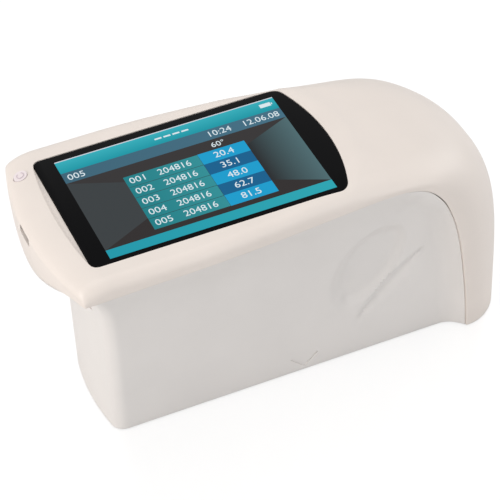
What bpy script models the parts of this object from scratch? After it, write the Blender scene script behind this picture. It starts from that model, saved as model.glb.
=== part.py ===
"""A hand-held gloss meter that stands on its own base, modelled in metres with +Z up.

The head with the display is wide and overhangs a narrow base. The cover runs over the head and
down the rounded nose to the surface that is measured. X runs along the head towards the nose,
Y across it, and the origin is at the middle of the footprint.
"""
import math

import bmesh
import bpy
from mathutils import Matrix, Vector

for old in list(bpy.data.objects):
    bpy.data.objects.remove(old, do_unlink=True)

# Overall form; places along the body are shares of its half length
LENGTH = 0.160
X_END = -LENGTH / 2          # connector end
X_TIP = LENGTH / 2           # foremost point of the nose
HALF_WIDTH = 0.0365          # widest half of the head
DECK_Z = 0.081               # flat deck that carries the display
WALL = 0.0023                # moulded wall
GAP = 0.0003                 # between pieces that touch
SHELL_FOOT = 0.0004          # the shells stop this far above the base plate's face

# Cover, seen from the side
END_SHOULDER = (0.010, 0.0045)   # rounding at the connector end: along X, down
END_ARC_RADIUS = 0.120           # the connector end is an arc in plan
END_CORNER = 0.0020              # small extra rounding where that arc meets the sides
SIDE_SHOULDER = (0.0046, 0.0042) # rounding along the deck's sides: across, down
DECK_WALL = 0.0039               # wall under the deck, where the window is let in
DECK_EDGE_X = 0.370 * X_TIP  # the deck ends in an arc before the nose
DECK_EDGE_RADIUS = 0.045
CROWN_START_X = 0.240 * X_TIP  # the nose's oval starts here, hidden under the deck
CROWN_POWER = 3.6
NOSE_WALL_TOP = 0.0112           # below this the nose stands straight
NOSE_SHOULDER = (0.0270, 0.0191) # rounding just past the deck's edge: across, down
SHOULDER_BLEND = (0.14, 0.08)    # shares of the way down the nose where that rounding is full, and
                                 # where it starts to turn into the foot's
EDGE_GROWTH = 0.10               # share of that rounding already reached at the deck's edge
EDGE_RUN = 0.012                 # over this length before it
FOOT_SHOULDER = 0.97             # share of the width that is rounded at the nose's foot
CREASE_DROP = 0.0013             # the nose falls this much faster just past the deck's edge
CREASE_LENGTH = 0.010

# Parting line between the cover and the housing, seen from the side
PART_END_Z = 0.0744
PART_LINE = tuple((share * X_TIP, z) for share, z in (
    (-0.8750, 0.0744), (-0.5000, 0.0751), (-0.1250, 0.0746), (0.1875, 0.0742), (0.3625, 0.0741),
    (0.4625, 0.0735), (0.5275, 0.0720), (0.5788, 0.0694), (0.6288, 0.0642), (0.6688, 0.0568),
    (0.6963, 0.0493), (0.7213, 0.0393), (0.7463, 0.0249), (0.7625, 0.0128), (0.7738, 0.0)))
# The cover narrows between the first two places, by the third
TAPER = (-0.5575 * X_TIP, 0.5763 * X_TIP, 0.173 * HALF_WIDTH)
NOSE_DRAFT = 0.148 * HALF_WIDTH  # and by this much more at the nose's foot
NOSE_DRAFT_TOP = 0.062
NOSE_DRAFT_POWER = 1.1

# Housing below the parting line
BASE_HALF_WIDTH = 0.5425 * HALF_WIDTH
BASE_DRAFT = 0.018               # outward lean of the base's walls, per unit of height
BASE_END_X = -0.830 * X_TIP
BASE_END_RADIUS = 0.090          # the base's end is an arc in plan
BASE_CORNER = 0.0046
FLARE_START = 0.031              # the wall starts to flare this far below the parting line
FLARE_POWER = 2.2
NOSE_FLARE = 0.0085              # and this far beside the nose
COVE_START = 0.0125              # the end's overhang starts this far below its lower edge
END_BAND = 0.0003                # upright band of the housing under the parting line at the end
CHIN = 0.0090                    # the parting line dips this far at the middle of the end

# Display
GLASS_LEFT = -0.84625 * X_TIP
GLASS_HALF_WIDTH = 0.7616 * HALF_WIDTH
GLASS_RIGHT = 0.285 * X_TIP  # at the middle of its arc
GLASS_ARC_RADIUS = 0.073
GLASS_CORNER = 0.0027
GLASS_THICK = 0.0014
GLASS_BELOW_DECK = 0.0001
GASKET_THICK = 0.0004
LEDGE_WIDTH = 0.0012
STEP_DEPTH = 0.0007              # shallow step beside the window at the connector end
STEP_WIDTH = 0.0020
PANEL_MARGIN = (0.0045, 0.0072, 0.00195)  # from the window's left, right and sides
PANEL_THICK = 0.0020
BACKLIGHT_INSET = 0.0015
BACKLIGHT_THICK = 0.0022
BRACKET_X = (-0.781 * X_TIP, 0.200 * X_TIP)
BRACKET_THICK = 0.0012
BRACKET_HALF_WIDTH = 0.690 * HALF_WIDTH
BRACKET_EAR = (0.0064, 0.770 * HALF_WIDTH)  # ears round the posts: along X, reach from the middle
POST_RADIUS = 0.0019
POST_AT = (-0.700 * X_TIP, -0.150 * X_TIP)
POST_Y = 0.729 * HALF_WIDTH

# Boards
BOARD_THICK = 0.0016
BOARD_X = (-0.725 * X_TIP, 0.250 * X_TIP)
BOARD_HALF_WIDTH = 0.616 * HALF_WIDTH
BOARD_DROP = 0.0042              # from the bracket down to the board's top
STANDOFF_RADIUS = 0.0019
STANDOFF_AT = (-0.650 * X_TIP, 0.175 * X_TIP)
STANDOFF_Y = 0.526 * HALF_WIDTH
IO_BOARD_RIGHT = X_END + 0.0154
IO_BOARD_Y = (-0.329 * HALF_WIDTH, 0.722 * HALF_WIDTH)
IO_BOARD_TOP = 0.0742
IO_BOARD_BOW = 0.0032            # how much rounder than the wall its outer edge is
IO_POST_X = X_END + 0.0128
IO_POST_Y = (-0.233 * HALF_WIDTH, 0.384 * HALF_WIDTH)
USB_Y = 0.0015
USB_SIZE = (0.0068, 0.0084, 0.0026)
USB_MOUTH_X = X_END + 0.0010
USB_SHEET = 0.0004
CHIPS = (("processor_chip", (-0.250 * X_TIP, 0.0), (0.016, 0.016, 0.0012)),
         ("memory_chip", (0.050 * X_TIP, 0.0), (0.012, 0.010, 0.0010)))
BUZZER_AT = (-0.550 * X_TIP, -0.006)
BUZZER_RADIUS = 0.0045
BUZZER_HEIGHT = 0.0035
PLUG_AT = (0.125 * X_TIP, 0.0080)
PLUG_SIZE = (0.0040, 0.0070, 0.0038)
FLEX_WIDTH = 0.014
FLEX_THICK = 0.0003
FLEX_BULGE = 0.0055

# Power button
BUTTON_X = X_END + 0.0070
BUTTON_Y = 0.658 * HALF_WIDTH
BUTTON_RADIUS = 0.0022
BUTTON_STEM = 0.0012
STEM_OFFSET = 0.0008
BUTTON_TRAVEL = 0.0005
BUTTON_PROUD = 0.0002
CATCH_LIFT = 0.0019              # bar over the connector board
BUTTON_FOOT = 0.0038             # the round cap starts this far over that board
CATCH_SIZE = (0.0030, 0.0064, 0.0006)    # bar that keeps the button under the cover
SWITCH_SIZE = (0.0030, 0.0040, 0.0010)
SWITCH_WELL = 0.0008
SWITCH_OFFSET = 0.0019              # the switch stands clear of the end wall
PLUNGER_RADIUS = 0.0008

# Power
BATTERY_SIZE = (0.350 * LENGTH, 0.011)
BATTERY_X = -0.3125 * X_TIP
TRAY_FLOOR = 0.0016
TRAY_WALL = 0.0015
TRAY_RIM = 0.0030
TRAY_Z = 0.0480
TRAY_LEG = 0.0025
TRAY_LEG_AT = (-0.030, 0.000)
TRAY_LEG_Y = 0.0055
LEAD_RADIUS = 0.0008

# Optics: two arms at 60 degrees to the upright, meeting at the aperture
APERTURE_X = 0.045 * X_TIP
APERTURE_SIZE = (0.018, 0.0105)
ARM_ANGLE = math.radians(60.0)
CHAMBER_TOP = 0.0065             # open space over the aperture, inside the block
ARM_LENGTH = 0.052
ARM_BORE = 0.0050
BLOCK_WALL = 0.0030
BLOCK_TOP = 0.0370
BLOCK_HALF_WIDTH = 0.0095
LENS_AT = ARM_LENGTH / 2  # along the arm, from the aperture
SLIT_AT = ARM_LENGTH - 0.0080
LENS_THICK = 0.0034
OPTIC_BOARD = (0.0145, 0.0185, 0.0014)

# Base plate, marks and grip
PLATE_THICK = 0.0025
SCREW_HEAD = (0.0019, 0.0011)
SCREW_SHAFT = 0.0010
SCREW_BOSS = 0.0032
NOSE_BOSS_SHARE = 0.405          # of the nose's half width at its foot
NOSE_BOSS_SEAT = 0.0025          # from the plate's edge in to the boss's middle
NOSE_BOSS_TOP = 0.014
BASE_BOSS_X = (-0.669 * X_TIP, 0.625 * X_TIP)
BASE_BOSS_INSET = 0.0050         # from the base's outside to the boss's middle
BASE_BOSS_TOP = 0.012
BOSS_ROOF = 0.0015               # left solid over the screw's hole
SCREW_LENGTH = 0.0075
PLATE_SPREAD = 0.0022            # the plate widens by this much where the nose's foot starts
MARK_SIZE = (0.0050, 0.0047)
MARK_Z = 0.0016
MARK_LINE = 0.0007
MARK_DEPTH = 0.0005
GRIP_CENTRE = (0.356 * X_TIP, 0.0380)
GRIP_AXES = (0.0190, 0.0098)
GRIP_ANGLE = math.radians(55.0)
GRIP_DEPTH = 0.0011
LEAF_CENTRE = (0.4190 * X_TIP, 0.0265)
LEAF_AXES = (0.0170, 0.0030)
LEAF_ANGLE = math.radians(43.0)
LEAF_PROUD = 0.0005              # the leaf under the dish stands out of the wall
LEAF_BULGE = 0.0012

meter = bpy.data.collections.new("gloss_meter")
tools = bpy.data.collections.new("cutters")
bpy.context.scene.collection.children.link(meter)
bpy.context.scene.collection.children.link(tools)


# Materials
def plastic(name, colour, roughness, metallic=0.0):
    material = bpy.data.materials.new(name)
    material.use_nodes = True
    shader = material.node_tree.nodes["Principled BSDF"]
    shader.inputs["Base Color"].default_value = (*colour, 1.0)
    shader.inputs["Roughness"].default_value = roughness
    shader.inputs["Metallic"].default_value = metallic
    return material


WARM_WHITE = ("warm_white_abs", (0.80, 0.76, 0.71), 0.38)
SOFT_GREY_WHITE = ("soft_grey_white_abs", (0.70, 0.67, 0.63), 0.45)
BLACK_GLASS = ("black_glass", (0.01, 0.01, 0.012), 0.06)
BLACK_ABS = ("black_abs", (0.03, 0.03, 0.032), 0.45)
BLACK_RUBBER = ("black_foam", (0.03, 0.03, 0.03), 0.8)
LCD_DARK = ("lcd_dark", (0.05, 0.06, 0.07), 0.2)
STEEL = ("steel", (0.62, 0.62, 0.63), 0.3, 1.0)
BRASS = ("brass", (0.75, 0.58, 0.28), 0.3, 1.0)
BOARD_GREEN = ("board_green", (0.02, 0.16, 0.07), 0.45)
CHIP_BLACK = ("chip_black", (0.02, 0.02, 0.02), 0.5)
CREAM_NYLON = ("cream_nylon", (0.75, 0.70, 0.60), 0.5)
BATTERY_BLUE = ("battery_blue", (0.05, 0.13, 0.35), 0.35)
BLACK_ANODISED = ("black_anodised", (0.02, 0.02, 0.022), 0.4, 0.6)
OPTIC_GLASS = ("optic_glass", (0.80, 0.88, 0.90), 0.05)
POLYIMIDE = ("polyimide", (0.45, 0.22, 0.05), 0.35)
BUTTON_WHITE = ("button_white", (0.85, 0.78, 0.78), 0.4)


# Putting finished pieces in the scene
def add_object(name, mesh, recipe, collection=meter):
    thing = bpy.data.objects.new(name, mesh)
    collection.objects.link(thing)
    if recipe:
        mesh.materials.append(plastic(name + "_" + recipe[0], *recipe[1:]))
    return thing


def mesh_from(bm, name):
    bmesh.ops.recalc_face_normals(bm, faces=bm.faces)
    mesh = bpy.data.meshes.new(name)
    bm.to_mesh(mesh)
    bm.free()
    return mesh


def block(bm, low, high):
    """Add a box between two corners."""
    made = bmesh.ops.create_cube(bm, size=1.0)["verts"]
    size = Vector(high) - Vector(low)
    middle = (Vector(high) + Vector(low)) / 2
    bmesh.ops.transform(bm, verts=made, matrix=Matrix.Translation(middle) @ Matrix.Diagonal((*size, 1.0)))
    return made


def drum(bm, at, radius, bottom, top, sides=20, top_radius=None):
    """Add an upright cylinder or cone between two heights."""
    made = bmesh.ops.create_cone(bm, cap_ends=True, segments=sides, radius1=radius,
                                 radius2=top_radius or radius, depth=top - bottom)["verts"]
    bmesh.ops.translate(bm, verts=made, vec=(at[0], at[1], (top + bottom) / 2))
    return made


def cutter(name, mesh):
    tool = add_object(name, mesh, None, tools)
    tool.hide_render = True
    tool.display_type = "WIRE"
    return tool


def boolean(target, tool, operation="DIFFERENCE"):
    step = target.modifiers.new(tool.name, "BOOLEAN")
    step.object = tool
    step.operation = operation
    step.solver = "EXACT"
    return step


def set_origin(thing, at):
    """Move a piece's origin without moving the piece."""
    thing.data.transform(Matrix.Translation(-Vector(at)))
    thing.location = at


def soften(thing, width, segments=2):
    step = thing.modifiers.new("edges", "BEVEL")
    step.width = width
    step.segments = segments
    step.limit_method = "ANGLE"
    step.angle_limit = math.radians(40)
    return step


def plate(name, low, high, recipe, edge=None):
    bm = bmesh.new()
    block(bm, low, high)
    thing = add_object(name, mesh_from(bm, name), recipe)
    if edge:
        soften(thing, edge)
    return thing


def prism(name, outline, bottom, top):
    """Extrude a closed outline of (x, y) points between two heights."""
    bm = bmesh.new()
    ring = [bm.verts.new((x, y, bottom)) for x, y in outline]
    face = bm.faces.new(ring)
    lifted = bmesh.ops.extrude_face_region(bm, geom=[face])["geom"]
    bmesh.ops.translate(bm, verts=[v for v in lifted if isinstance(v, bmesh.types.BMVert)],
                        vec=(0, 0, top - bottom))
    return mesh_from(bm, name)


# Curves that the form is made from
def ease(start, end, value):
    t = min(max((value - start) / (end - start), 0.0), 1.0)
    return t * t * (3 - 2 * t)


def through(points, value, axis=0):
    """Read the other coordinate of a smooth line through points at a value on one axis."""
    other = 1 - axis
    spans = len(points) - 1
    for k in range(spans):
        a, b = points[k][axis], points[k + 1][axis]
        if min(a, b) <= value <= max(a, b) or k == spans - 1:
            break
    before = points[max(k - 1, 0)]
    after = points[min(k + 2, spans)]
    p, q = points[k], points[k + 1]
    t = min(max((value - p[axis]) / (q[axis] - p[axis]), 0.0), 1.0)
    run = q[axis] - p[axis]
    slope_p = (q[other] - before[other]) / (q[axis] - before[axis]) * run
    slope_q = (after[other] - p[other]) / (after[axis] - p[axis]) * run
    return ((2 * t**3 - 3 * t**2 + 1) * p[other] + (t**3 - 2 * t**2 + t) * slope_p
            + (3 * t**2 - 2 * t**3) * q[other] + (t**3 - t**2) * slope_q)


def smooth_line(points, per_span):
    """A rounded line through points, as evenly spread points."""
    ends = [tuple(2 * a - b for a, b in zip(points[0], points[1]))]
    tail = [tuple(2 * a - b for a, b in zip(points[-1], points[-2]))]
    run = ends + list(points) + tail
    line = []
    for k in range(1, len(run) - 2):
        for step in range(per_span):
            t = step / per_span
            line.append(tuple(0.5 * (2 * b + (c - a) * t + (2 * a - 5 * b + 4 * c - d) * t * t
                                     + (3 * b - a - 3 * c + d) * t**3)
                              for a, b, c, d in zip(*run[k - 1:k + 3])))
    line.append(tuple(points[-1]))
    return line


def spread(line, count):
    """Share a polyline into equal lengths."""
    reach = [0.0]
    for a, b in zip(line, line[1:]):
        reach.append(reach[-1] + math.dist(a, b))
    result = []
    k = 0
    for step in range(count + 1):
        goal = reach[-1] * step / count
        while k < len(line) - 2 and reach[k + 1] < goal:
            k += 1
        t = (goal - reach[k]) / (reach[k + 1] - reach[k])
        result.append(tuple(a + (b - a) * t for a, b in zip(line[k], line[k + 1])))
    return result


def half_width(x, z):
    """Half width of the cover at its parting line."""
    taper = TAPER[2] * ease(TAPER[0], TAPER[1], x)
    draft = NOSE_DRAFT * max(0.0, (NOSE_DRAFT_TOP - z) / NOSE_DRAFT_TOP) ** NOSE_DRAFT_POWER
    return HALF_WIDTH - taper - draft


def end_arc(y):
    """How far the connector end stands back from its foremost point."""
    share = min(abs(y) / HALF_WIDTH, 1.0)
    bow = END_ARC_RADIUS - math.sqrt(END_ARC_RADIUS**2 - y * y)
    return bow + END_CORNER * (1 - max(0.0, 1 - share**14) ** (1 / 14))


def crown(x):
    """Height of the nose's middle line."""
    def oval(at):
        share = (at - CROWN_START_X) / (X_TIP - CROWN_START_X)
        return max(0.0, 1 - share**CROWN_POWER) ** (1 / CROWN_POWER)
    crease = CREASE_DROP * (1 - math.exp((DECK_EDGE_X - x) / CREASE_LENGTH)) * oval(x)
    return NOSE_WALL_TOP + (DECK_Z - NOSE_WALL_TOP) * oval(x) / oval(DECK_EDGE_X) - crease


def middle_line():
    """The cover's middle line seen from the side, from the end's parting line to the nose's foot."""
    reach, drop = END_SHOULDER
    line = [(X_END, PART_END_Z), (X_END, (PART_END_Z + DECK_Z - drop) / 2)]
    for k in range(7):
        a = math.pi / 2 * k / 6
        line.append((X_END + reach * (1 - math.cos(a)), DECK_Z - drop * (1 - math.sin(a))))
    line += [(X_END + reach + (DECK_EDGE_X - X_END - reach) * k / 9, DECK_Z) for k in range(1, 10)]
    for k in range(1, 17):
        a = math.pi / 2 * k / 16
        x = DECK_EDGE_X + (X_TIP - DECK_EDGE_X) * math.sin(a)
        line.append((x, crown(x)))
    line += [(X_TIP, NOSE_WALL_TOP * (1 - k / 3) + SHELL_FOOT * k / 3) for k in range(1, 4)]
    return line


def inward(line, k):
    """Unit step from the middle line into the body."""
    a = line[max(k - 1, 0)]
    b = line[min(k + 1, len(line) - 1)]
    if k == 0 or k == len(line) - 1:
        return (1.0, 0.0) if k == 0 else (-1.0, 0.0)
    dx, dz = b[0] - a[0], b[1] - a[1]
    size = math.hypot(dx, dz)
    return dz / size, -dx / size


PART_CURVE = smooth_line(PART_LINE, 6)


def rim_height(x):
    """Height of the parting line under the head."""
    return through(PART_LINE, max(x, PART_LINE[0][0]))


def end_rim(y):
    """Height of the parting line round the connector end: it dips in the middle."""
    return PART_END_Z - CHIN * (1 - ease(0.0, 0.93 * HALF_WIDTH, abs(y)))


def row_shift(x, y):
    """How far a row that starts at x on the middle line has moved along X at y."""
    back = end_arc(y) * (1 - ease(0.900 * X_END, 0.4375 * X_END, x))
    bow = DECK_EDGE_RADIUS - math.sqrt(DECK_EDGE_RADIUS**2 - y * y)
    near_edge = ease(-0.275 * X_TIP, DECK_EDGE_X, x) * (1 - ease(DECK_EDGE_X + 0.002, 0.750 * X_TIP, x))
    return back - bow * near_edge


def section(half, across, down, depth, count):
    """Half a section: flat top, oval shoulder, straight skirt; as (y, share of the depth)."""
    line = [(half - across) * k / 20 for k in range(20)]
    line = [(y, 0.0) for y in line]
    for k in range(17):
        a = math.pi / 2 * k / 16
        line.append((half - across * (1 - math.sin(a)), down * (1 - math.cos(a))))
    line += [(half, down + (depth - down) * k / 4) for k in range(1, 5)]
    reach = [0.0]
    turn_weight = 0.011
    heading = 0.0
    for a, b in zip(line, line[1:]):
        new = math.atan2(b[1] - a[1], b[0] - a[0])
        reach.append(reach[-1] + math.dist(a, b) + turn_weight * abs(new - heading))
        heading = new
    result = []
    k = 0
    for step in range(count + 1):
        goal = reach[-1] * step / count
        while k < len(line) - 2 and reach[k + 1] < goal:
            k += 1
        t = (goal - reach[k]) / max(reach[k + 1] - reach[k], 1e-9)
        y = line[k][0] + (line[k + 1][0] - line[k][0]) * t
        z = line[k][1] + (line[k + 1][1] - line[k][1]) * t
        result.append((y, z / depth if depth > 1e-9 else 0.0))
    return result


def cover_rows(inside, count):
    """Rows of points across the cover, from the connector end to the nose's foot."""
    line = middle_line()
    edge_row = max(k for k, (x, _) in enumerate(line) if x <= DECK_EDGE_X + 1e-6)
    run = [0.0]
    for a, b in zip(line[edge_row:], line[edge_row + 1:]):
        run.append(run[-1] + math.dist(a, b))
    start_x = DECK_EDGE_X + row_shift(DECK_EDGE_X, half_width(DECK_EDGE_X, PART_END_Z))
    leg = [(start_x, rim_height(start_x))] + [p for p in PART_CURVE if p[0] > start_x + 0.001]
    leg[-1] = (leg[-1][0], SHELL_FOOT)
    leg_steps = spread(leg, 200)
    rows = []
    for k, (x, z) in enumerate(line):
        thick = 0.0
        if inside:
            deck = ease(X_END + 0.0025, X_END + 0.0100, x) * (1 - ease(0.275 * X_TIP, 0.450 * X_TIP, x))
            thick = WALL + (DECK_WALL - WALL) * deck
        step = inward(line, k)
        mx, mz = x + step[0] * thick, z + step[1] * thick
        if k <= edge_row:
            rx = mx + row_shift(x, half_width(x, PART_END_Z))
            rz = PART_END_Z if k == 0 else rim_height(rx)
            wide = half_width(rx, rz)
            blend = 0.0
        else:
            share = run[k - edge_row] / run[-1]
            rx, rz = leg_steps[round(share * 200)]
            wide = half_width(rx, rz)
            blend = share
        if k == len(line) - 1:
            mz = rz = SHELL_FOOT
        half = wide - (WALL if inside else 0.0)
        depth = math.hypot(mx - rx, mz - rz) if k > edge_row else max(mz - rz, 0.0)
        inset = WALL if inside else 0.0
        across, down = SIDE_SHOULDER[0] - inset * 0.6, SIDE_SHOULDER[1] - inset * 0.6
        full = (half * FOOT_SHOULDER, depth * FOOT_SHOULDER)
        growth = EDGE_GROWTH * ease(DECK_EDGE_X - EDGE_RUN, DECK_EDGE_X, x)
        across += (NOSE_SHOULDER[0] - across) * growth
        down += (NOSE_SHOULDER[1] - down) * growth
        if blend > 0.0:
            early, late = ease(0.0, SHOULDER_BLEND[0], blend), ease(SHOULDER_BLEND[1], 1.0, blend)
            across += (NOSE_SHOULDER[0] - across) * early
            down += (NOSE_SHOULDER[1] - down) * early
            across, down = across + (full[0] - across) * late, down + (full[1] - down) * late
        down = min(down, depth * (0.85 + 0.12 * blend))
        edge_shift = row_shift(x, wide)
        row = []
        for y, share in section(half, across, down, depth, count):
            shift = row_shift(x, min(y / half, 1.0) * wide)
            px = mx + shift + (rx - mx - edge_shift) * share
            z = end_rim(y) if k == 0 else mz + (rz - mz) * share
            row.append((px, y, z))
        rows.append([(a, -b, c) for a, b, c in reversed(row[1:])] + row)
    return rows


def shell(name, outer, inner):
    """Close two like grids of points into one moulded wall."""
    bm = bmesh.new()
    skins = [[[bm.verts.new(p) for p in row] for row in rows] for rows in (outer, inner)]
    deep, wide = len(outer), len(outer[0])
    for skin in skins:
        for i in range(deep - 1):
            for j in range(wide - 1):
                bm.faces.new((skin[i][j], skin[i + 1][j], skin[i + 1][j + 1], skin[i][j + 1]))
    border = [(0, j) for j in range(wide)] + [(i, wide - 1) for i in range(1, deep)]
    border += [(deep - 1, j) for j in range(wide - 2, -1, -1)] + [(i, 0) for i in range(deep - 2, 0, -1)]
    out, into = skins
    for (a, b), (c, d) in zip(border, border[1:] + border[:1]):
        bm.faces.new((out[a][b], out[c][d], into[c][d], into[a][b]))
    bmesh.ops.remove_doubles(bm, verts=bm.verts, dist=1e-6)
    bmesh.ops.dissolve_degenerate(bm, edges=bm.edges, dist=1e-7)
    return mesh_from(bm, name)


# Housing: columns of points from the floor up to the parting line
def distance_to(line, x, z):
    best = 1.0
    for (ax, az), (bx, bz) in zip(line, line[1:]):
        dx, dz = bx - ax, bz - az
        t = min(max(((x - ax) * dx + (z - az) * dz) / (dx * dx + dz * dz), 0.0), 1.0)
        best = min(best, math.hypot(x - ax - t * dx, z - az - t * dz))
    return best


HEAD_LINE = [p for p in PART_CURVE if p[0] < 0.6125 * X_TIP]
NOSE_LINE = [p for p in PART_CURVE if p[0] > 0.4688 * X_TIP]


def side_flare(x, z):
    """Share of the way from the base's wall out to the parting line."""
    top = max(0.0, 1 - distance_to(HEAD_LINE, x, z) / FLARE_START) ** FLARE_POWER
    nose = max(0.0, 1 - distance_to(NOSE_LINE, x, z) / NOSE_FLARE) ** FLARE_POWER
    return 1 - (1 - top) * (1 - nose)


def end_flare(y, z):
    edge = end_rim(y) - END_BAND
    return ease(edge - COVE_START, edge, z)


def base_half(z):
    return BASE_HALF_WIDTH + BASE_DRAFT * z


END_COLUMNS = 13                 # over half of the connector end, then round its corner
CORNER_COLUMNS = 4


def rim_columns():
    """Points of the housing's upper edge, with the foot each rises from, for one half."""
    columns = []
    arc_y = BASE_HALF_WIDTH - BASE_CORNER
    for k in range(END_COLUMNS):
        share = k / (END_COLUMNS - 1)
        y = (HALF_WIDTH - 0.0013) * share
        foot = (BASE_END_X + BASE_END_RADIUS - math.sqrt(BASE_END_RADIUS**2 - (arc_y * share)**2),
                arc_y * share)
        end_share = 1 - ease(0.45, 1.0, share)
        columns.append((foot, (X_END + end_arc(y), y, end_rim(y)), end_share, (1.0, 0.0)))
    corner_x = columns[-1][0][0] + BASE_CORNER
    turn = [(X_END + end_arc(y), y) for y in
            [HALF_WIDTH - inset for inset in (0.0013, 0.0007, 0.0003, 0.0001, 0.0)]]
    turn.append((PART_LINE[0][0], HALF_WIDTH))
    for k, (x, y) in enumerate(spread(turn, CORNER_COLUMNS)[1:]):
        a = math.pi / 2 * (k + 1) / CORNER_COLUMNS
        foot = (corner_x - BASE_CORNER * math.cos(a), arc_y + BASE_CORNER * math.sin(a))
        inside = (math.cos(a), math.sin(a))
        columns.append((foot, (x, y, end_rim(y)), 0.0, inside))
    lag = corner_x - PART_LINE[0][0]
    line = spread(PART_CURVE, 28)
    for k, (x, z) in enumerate(line[1:]):
        wall_x = x + lag * (1 - ease(PART_LINE[0][0], -0.1875 * X_TIP, x))
        columns.append(((wall_x, BASE_HALF_WIDTH), (x, half_width(x, z), z), 0.0, (0.0, 1.0)))
    return columns


RISE = (0.0, 0.25, 0.45, 0.58, 0.67, 0.74, 0.79, 0.84, 0.89, 0.93, 0.965, 1.0)


def housing_rows(inside):
    rows = []
    columns = rim_columns()
    thick = WALL if inside else 0.0
    lift = 0.0012 if inside else 0.0
    for share in RISE:
        row = []
        for k, (foot, rim, end_share, inward_step) in enumerate(columns):
            fx, fy = foot[0] + inward_step[0] * thick, foot[1] - inward_step[1] * thick
            rx, ry = rim[0] + inward_step[0] * thick, rim[1] - inward_step[1] * thick
            at_end = k < END_COLUMNS + CORNER_COLUMNS
            top = rim[2] - GAP - (END_BAND if at_end else 0.0)
            rx = rx - GAP * ease(0.500 * X_TIP, 0.625 * X_TIP, rx)
            fx = fx - GAP * ease(0.500 * X_TIP, 0.625 * X_TIP, fx)
            top = max(top, SHELL_FOOT)
            z = SHELL_FOOT + (top - SHELL_FOOT) * share
            at = z - lift
            if at_end:
                side_share = max(0.0, 1 - (rim[2] - at) / FLARE_START) ** FLARE_POWER
                flare = end_share * end_flare(ry, at) + (1 - end_share) * side_share
            else:
                flare = side_flare(rx, at)
            lean = BASE_DRAFT * z
            x = fx - inward_step[0] * lean
            y = fy + inward_step[1] * lean
            if not at_end:
                ry = half_width(rx, z) - thick - 0.0002
            row.append((x + (rx - x) * flare, y + (ry - y) * flare, z))
        rows.append([(a, -b, c) for a, b, c in reversed(row[1:])] + row)
    return rows


def glass_outline(grow):
    """The window's outline in plan, made larger by a clearance."""
    half = GLASS_HALF_WIDTH + grow
    left = GLASS_LEFT - grow
    radius = GLASS_ARC_RADIUS + grow
    centre = GLASS_RIGHT - GLASS_ARC_RADIUS
    corner = GLASS_CORNER + max(grow, -0.001)
    last = math.asin((half - corner) / radius)
    arc = [(centre + radius * math.cos(last * k / 8), radius * math.sin(last * k / 8)) for k in range(9)]
    tip = (centre + math.sqrt(radius**2 - half**2), half)
    half_line = arc
    for start, peak, end in ((arc[-1], tip, (tip[0] - corner, half)),
                             ((left + corner, half), (left, half), (left, half - corner))):
        for k in range(6):
            t = k / 5
            half_line.append(tuple((1 - t)**2 * a + 2 * t * (1 - t) * b + t * t * c
                                   for a, b, c in zip(start, peak, end)))
    half_line = [p for k, p in enumerate(half_line) if k == 0 or math.dist(p, half_line[k - 1]) > 1e-5]
    return half_line + [(x, -y) for x, y in reversed(half_line[1:])]


# Heights of the display's pieces, from the deck down
GLASS_TOP = DECK_Z - GLASS_BELOW_DECK
GLASS_BOTTOM = GLASS_TOP - GLASS_THICK
GASKET_TOP = GLASS_BOTTOM - GAP
LEDGE_TOP = GASKET_TOP - GASKET_THICK - GAP
PANEL_TOP = GLASS_BOTTOM - GAP
BACKLIGHT_TOP = PANEL_TOP - PANEL_THICK - GAP
BRACKET_TOP = BACKLIGHT_TOP - BACKLIGHT_THICK - GAP
BRACKET_BOTTOM = BRACKET_TOP - BRACKET_THICK
DECK_UNDER = DECK_Z - DECK_WALL
PANEL_X = (GLASS_LEFT + PANEL_MARGIN[0], GLASS_RIGHT - PANEL_MARGIN[1])
PANEL_HALF = GLASS_HALF_WIDTH - PANEL_MARGIN[2]
SHAFT_HOLE = SCREW_SHAFT + GAP


def round_tool(name, at, radius, bottom, top, sides=20, top_radius=None):
    bm = bmesh.new()
    drum(bm, at, radius, bottom, top, sides, top_radius)
    return cutter(name, mesh_from(bm, name))


def box_tool(name, low, high):
    bm = bmesh.new()
    block(bm, low, high)
    return cutter(name, mesh_from(bm, name))


def drums_tool(name, places, radius, bottom, top, sides=12):
    bm = bmesh.new()
    for at in places:
        drum(bm, at, radius, bottom, top, sides)
    return cutter(name, mesh_from(bm, name))


# Top cover: head, deck and nose in one moulding
HALF_STEPS = 13
top_cover = add_object("top_cover", shell("top_cover", cover_rows(False, HALF_STEPS),
                                          cover_rows(True, HALF_STEPS)), WARM_WHITE)
POSTS = [(x, side * POST_Y) for x in POST_AT for side in (-1, 1)]
IO_POSTS = [(IO_POST_X, y) for y in IO_POST_Y]
foot_x = PART_LINE[-1][0]
foot_half = half_width(foot_x, 0.0) - WALL - GAP


def foot_edge(y):
    """The base plate's edge inside the nose."""
    foot_left = foot_x + GAP
    return foot_left + (X_TIP - WALL - GAP - foot_left) * math.sqrt(max(0.0, 1 - (y / foot_half)**2))


nose_boss_y = NOSE_BOSS_SHARE * foot_half
NOSE_BOSSES = [(foot_edge(nose_boss_y) - NOSE_BOSS_SEAT, side * nose_boss_y) for side in (-1, 1)]
post_feet = BRACKET_TOP + GAP
boolean(top_cover, drums_tool("cover_posts", POSTS, POST_RADIUS, post_feet, DECK_UNDER + 0.0006), "UNION")
boolean(top_cover, drums_tool("io_posts", IO_POSTS, POST_RADIUS, IO_BOARD_TOP + GAP, DECK_UNDER + 0.0006),
        "UNION")
boolean(top_cover, drums_tool("nose_bosses", NOSE_BOSSES, SCREW_BOSS, PLATE_THICK + GAP, NOSE_BOSS_TOP),
        "UNION")
boolean(top_cover, drums_tool("post_holes", POSTS, SHAFT_HOLE, post_feet - 0.001, DECK_UNDER - 0.0004))
boolean(top_cover, drums_tool("io_post_holes", IO_POSTS, SHAFT_HOLE, IO_BOARD_TOP - 0.001,
                              DECK_UNDER - 0.0004))
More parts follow.
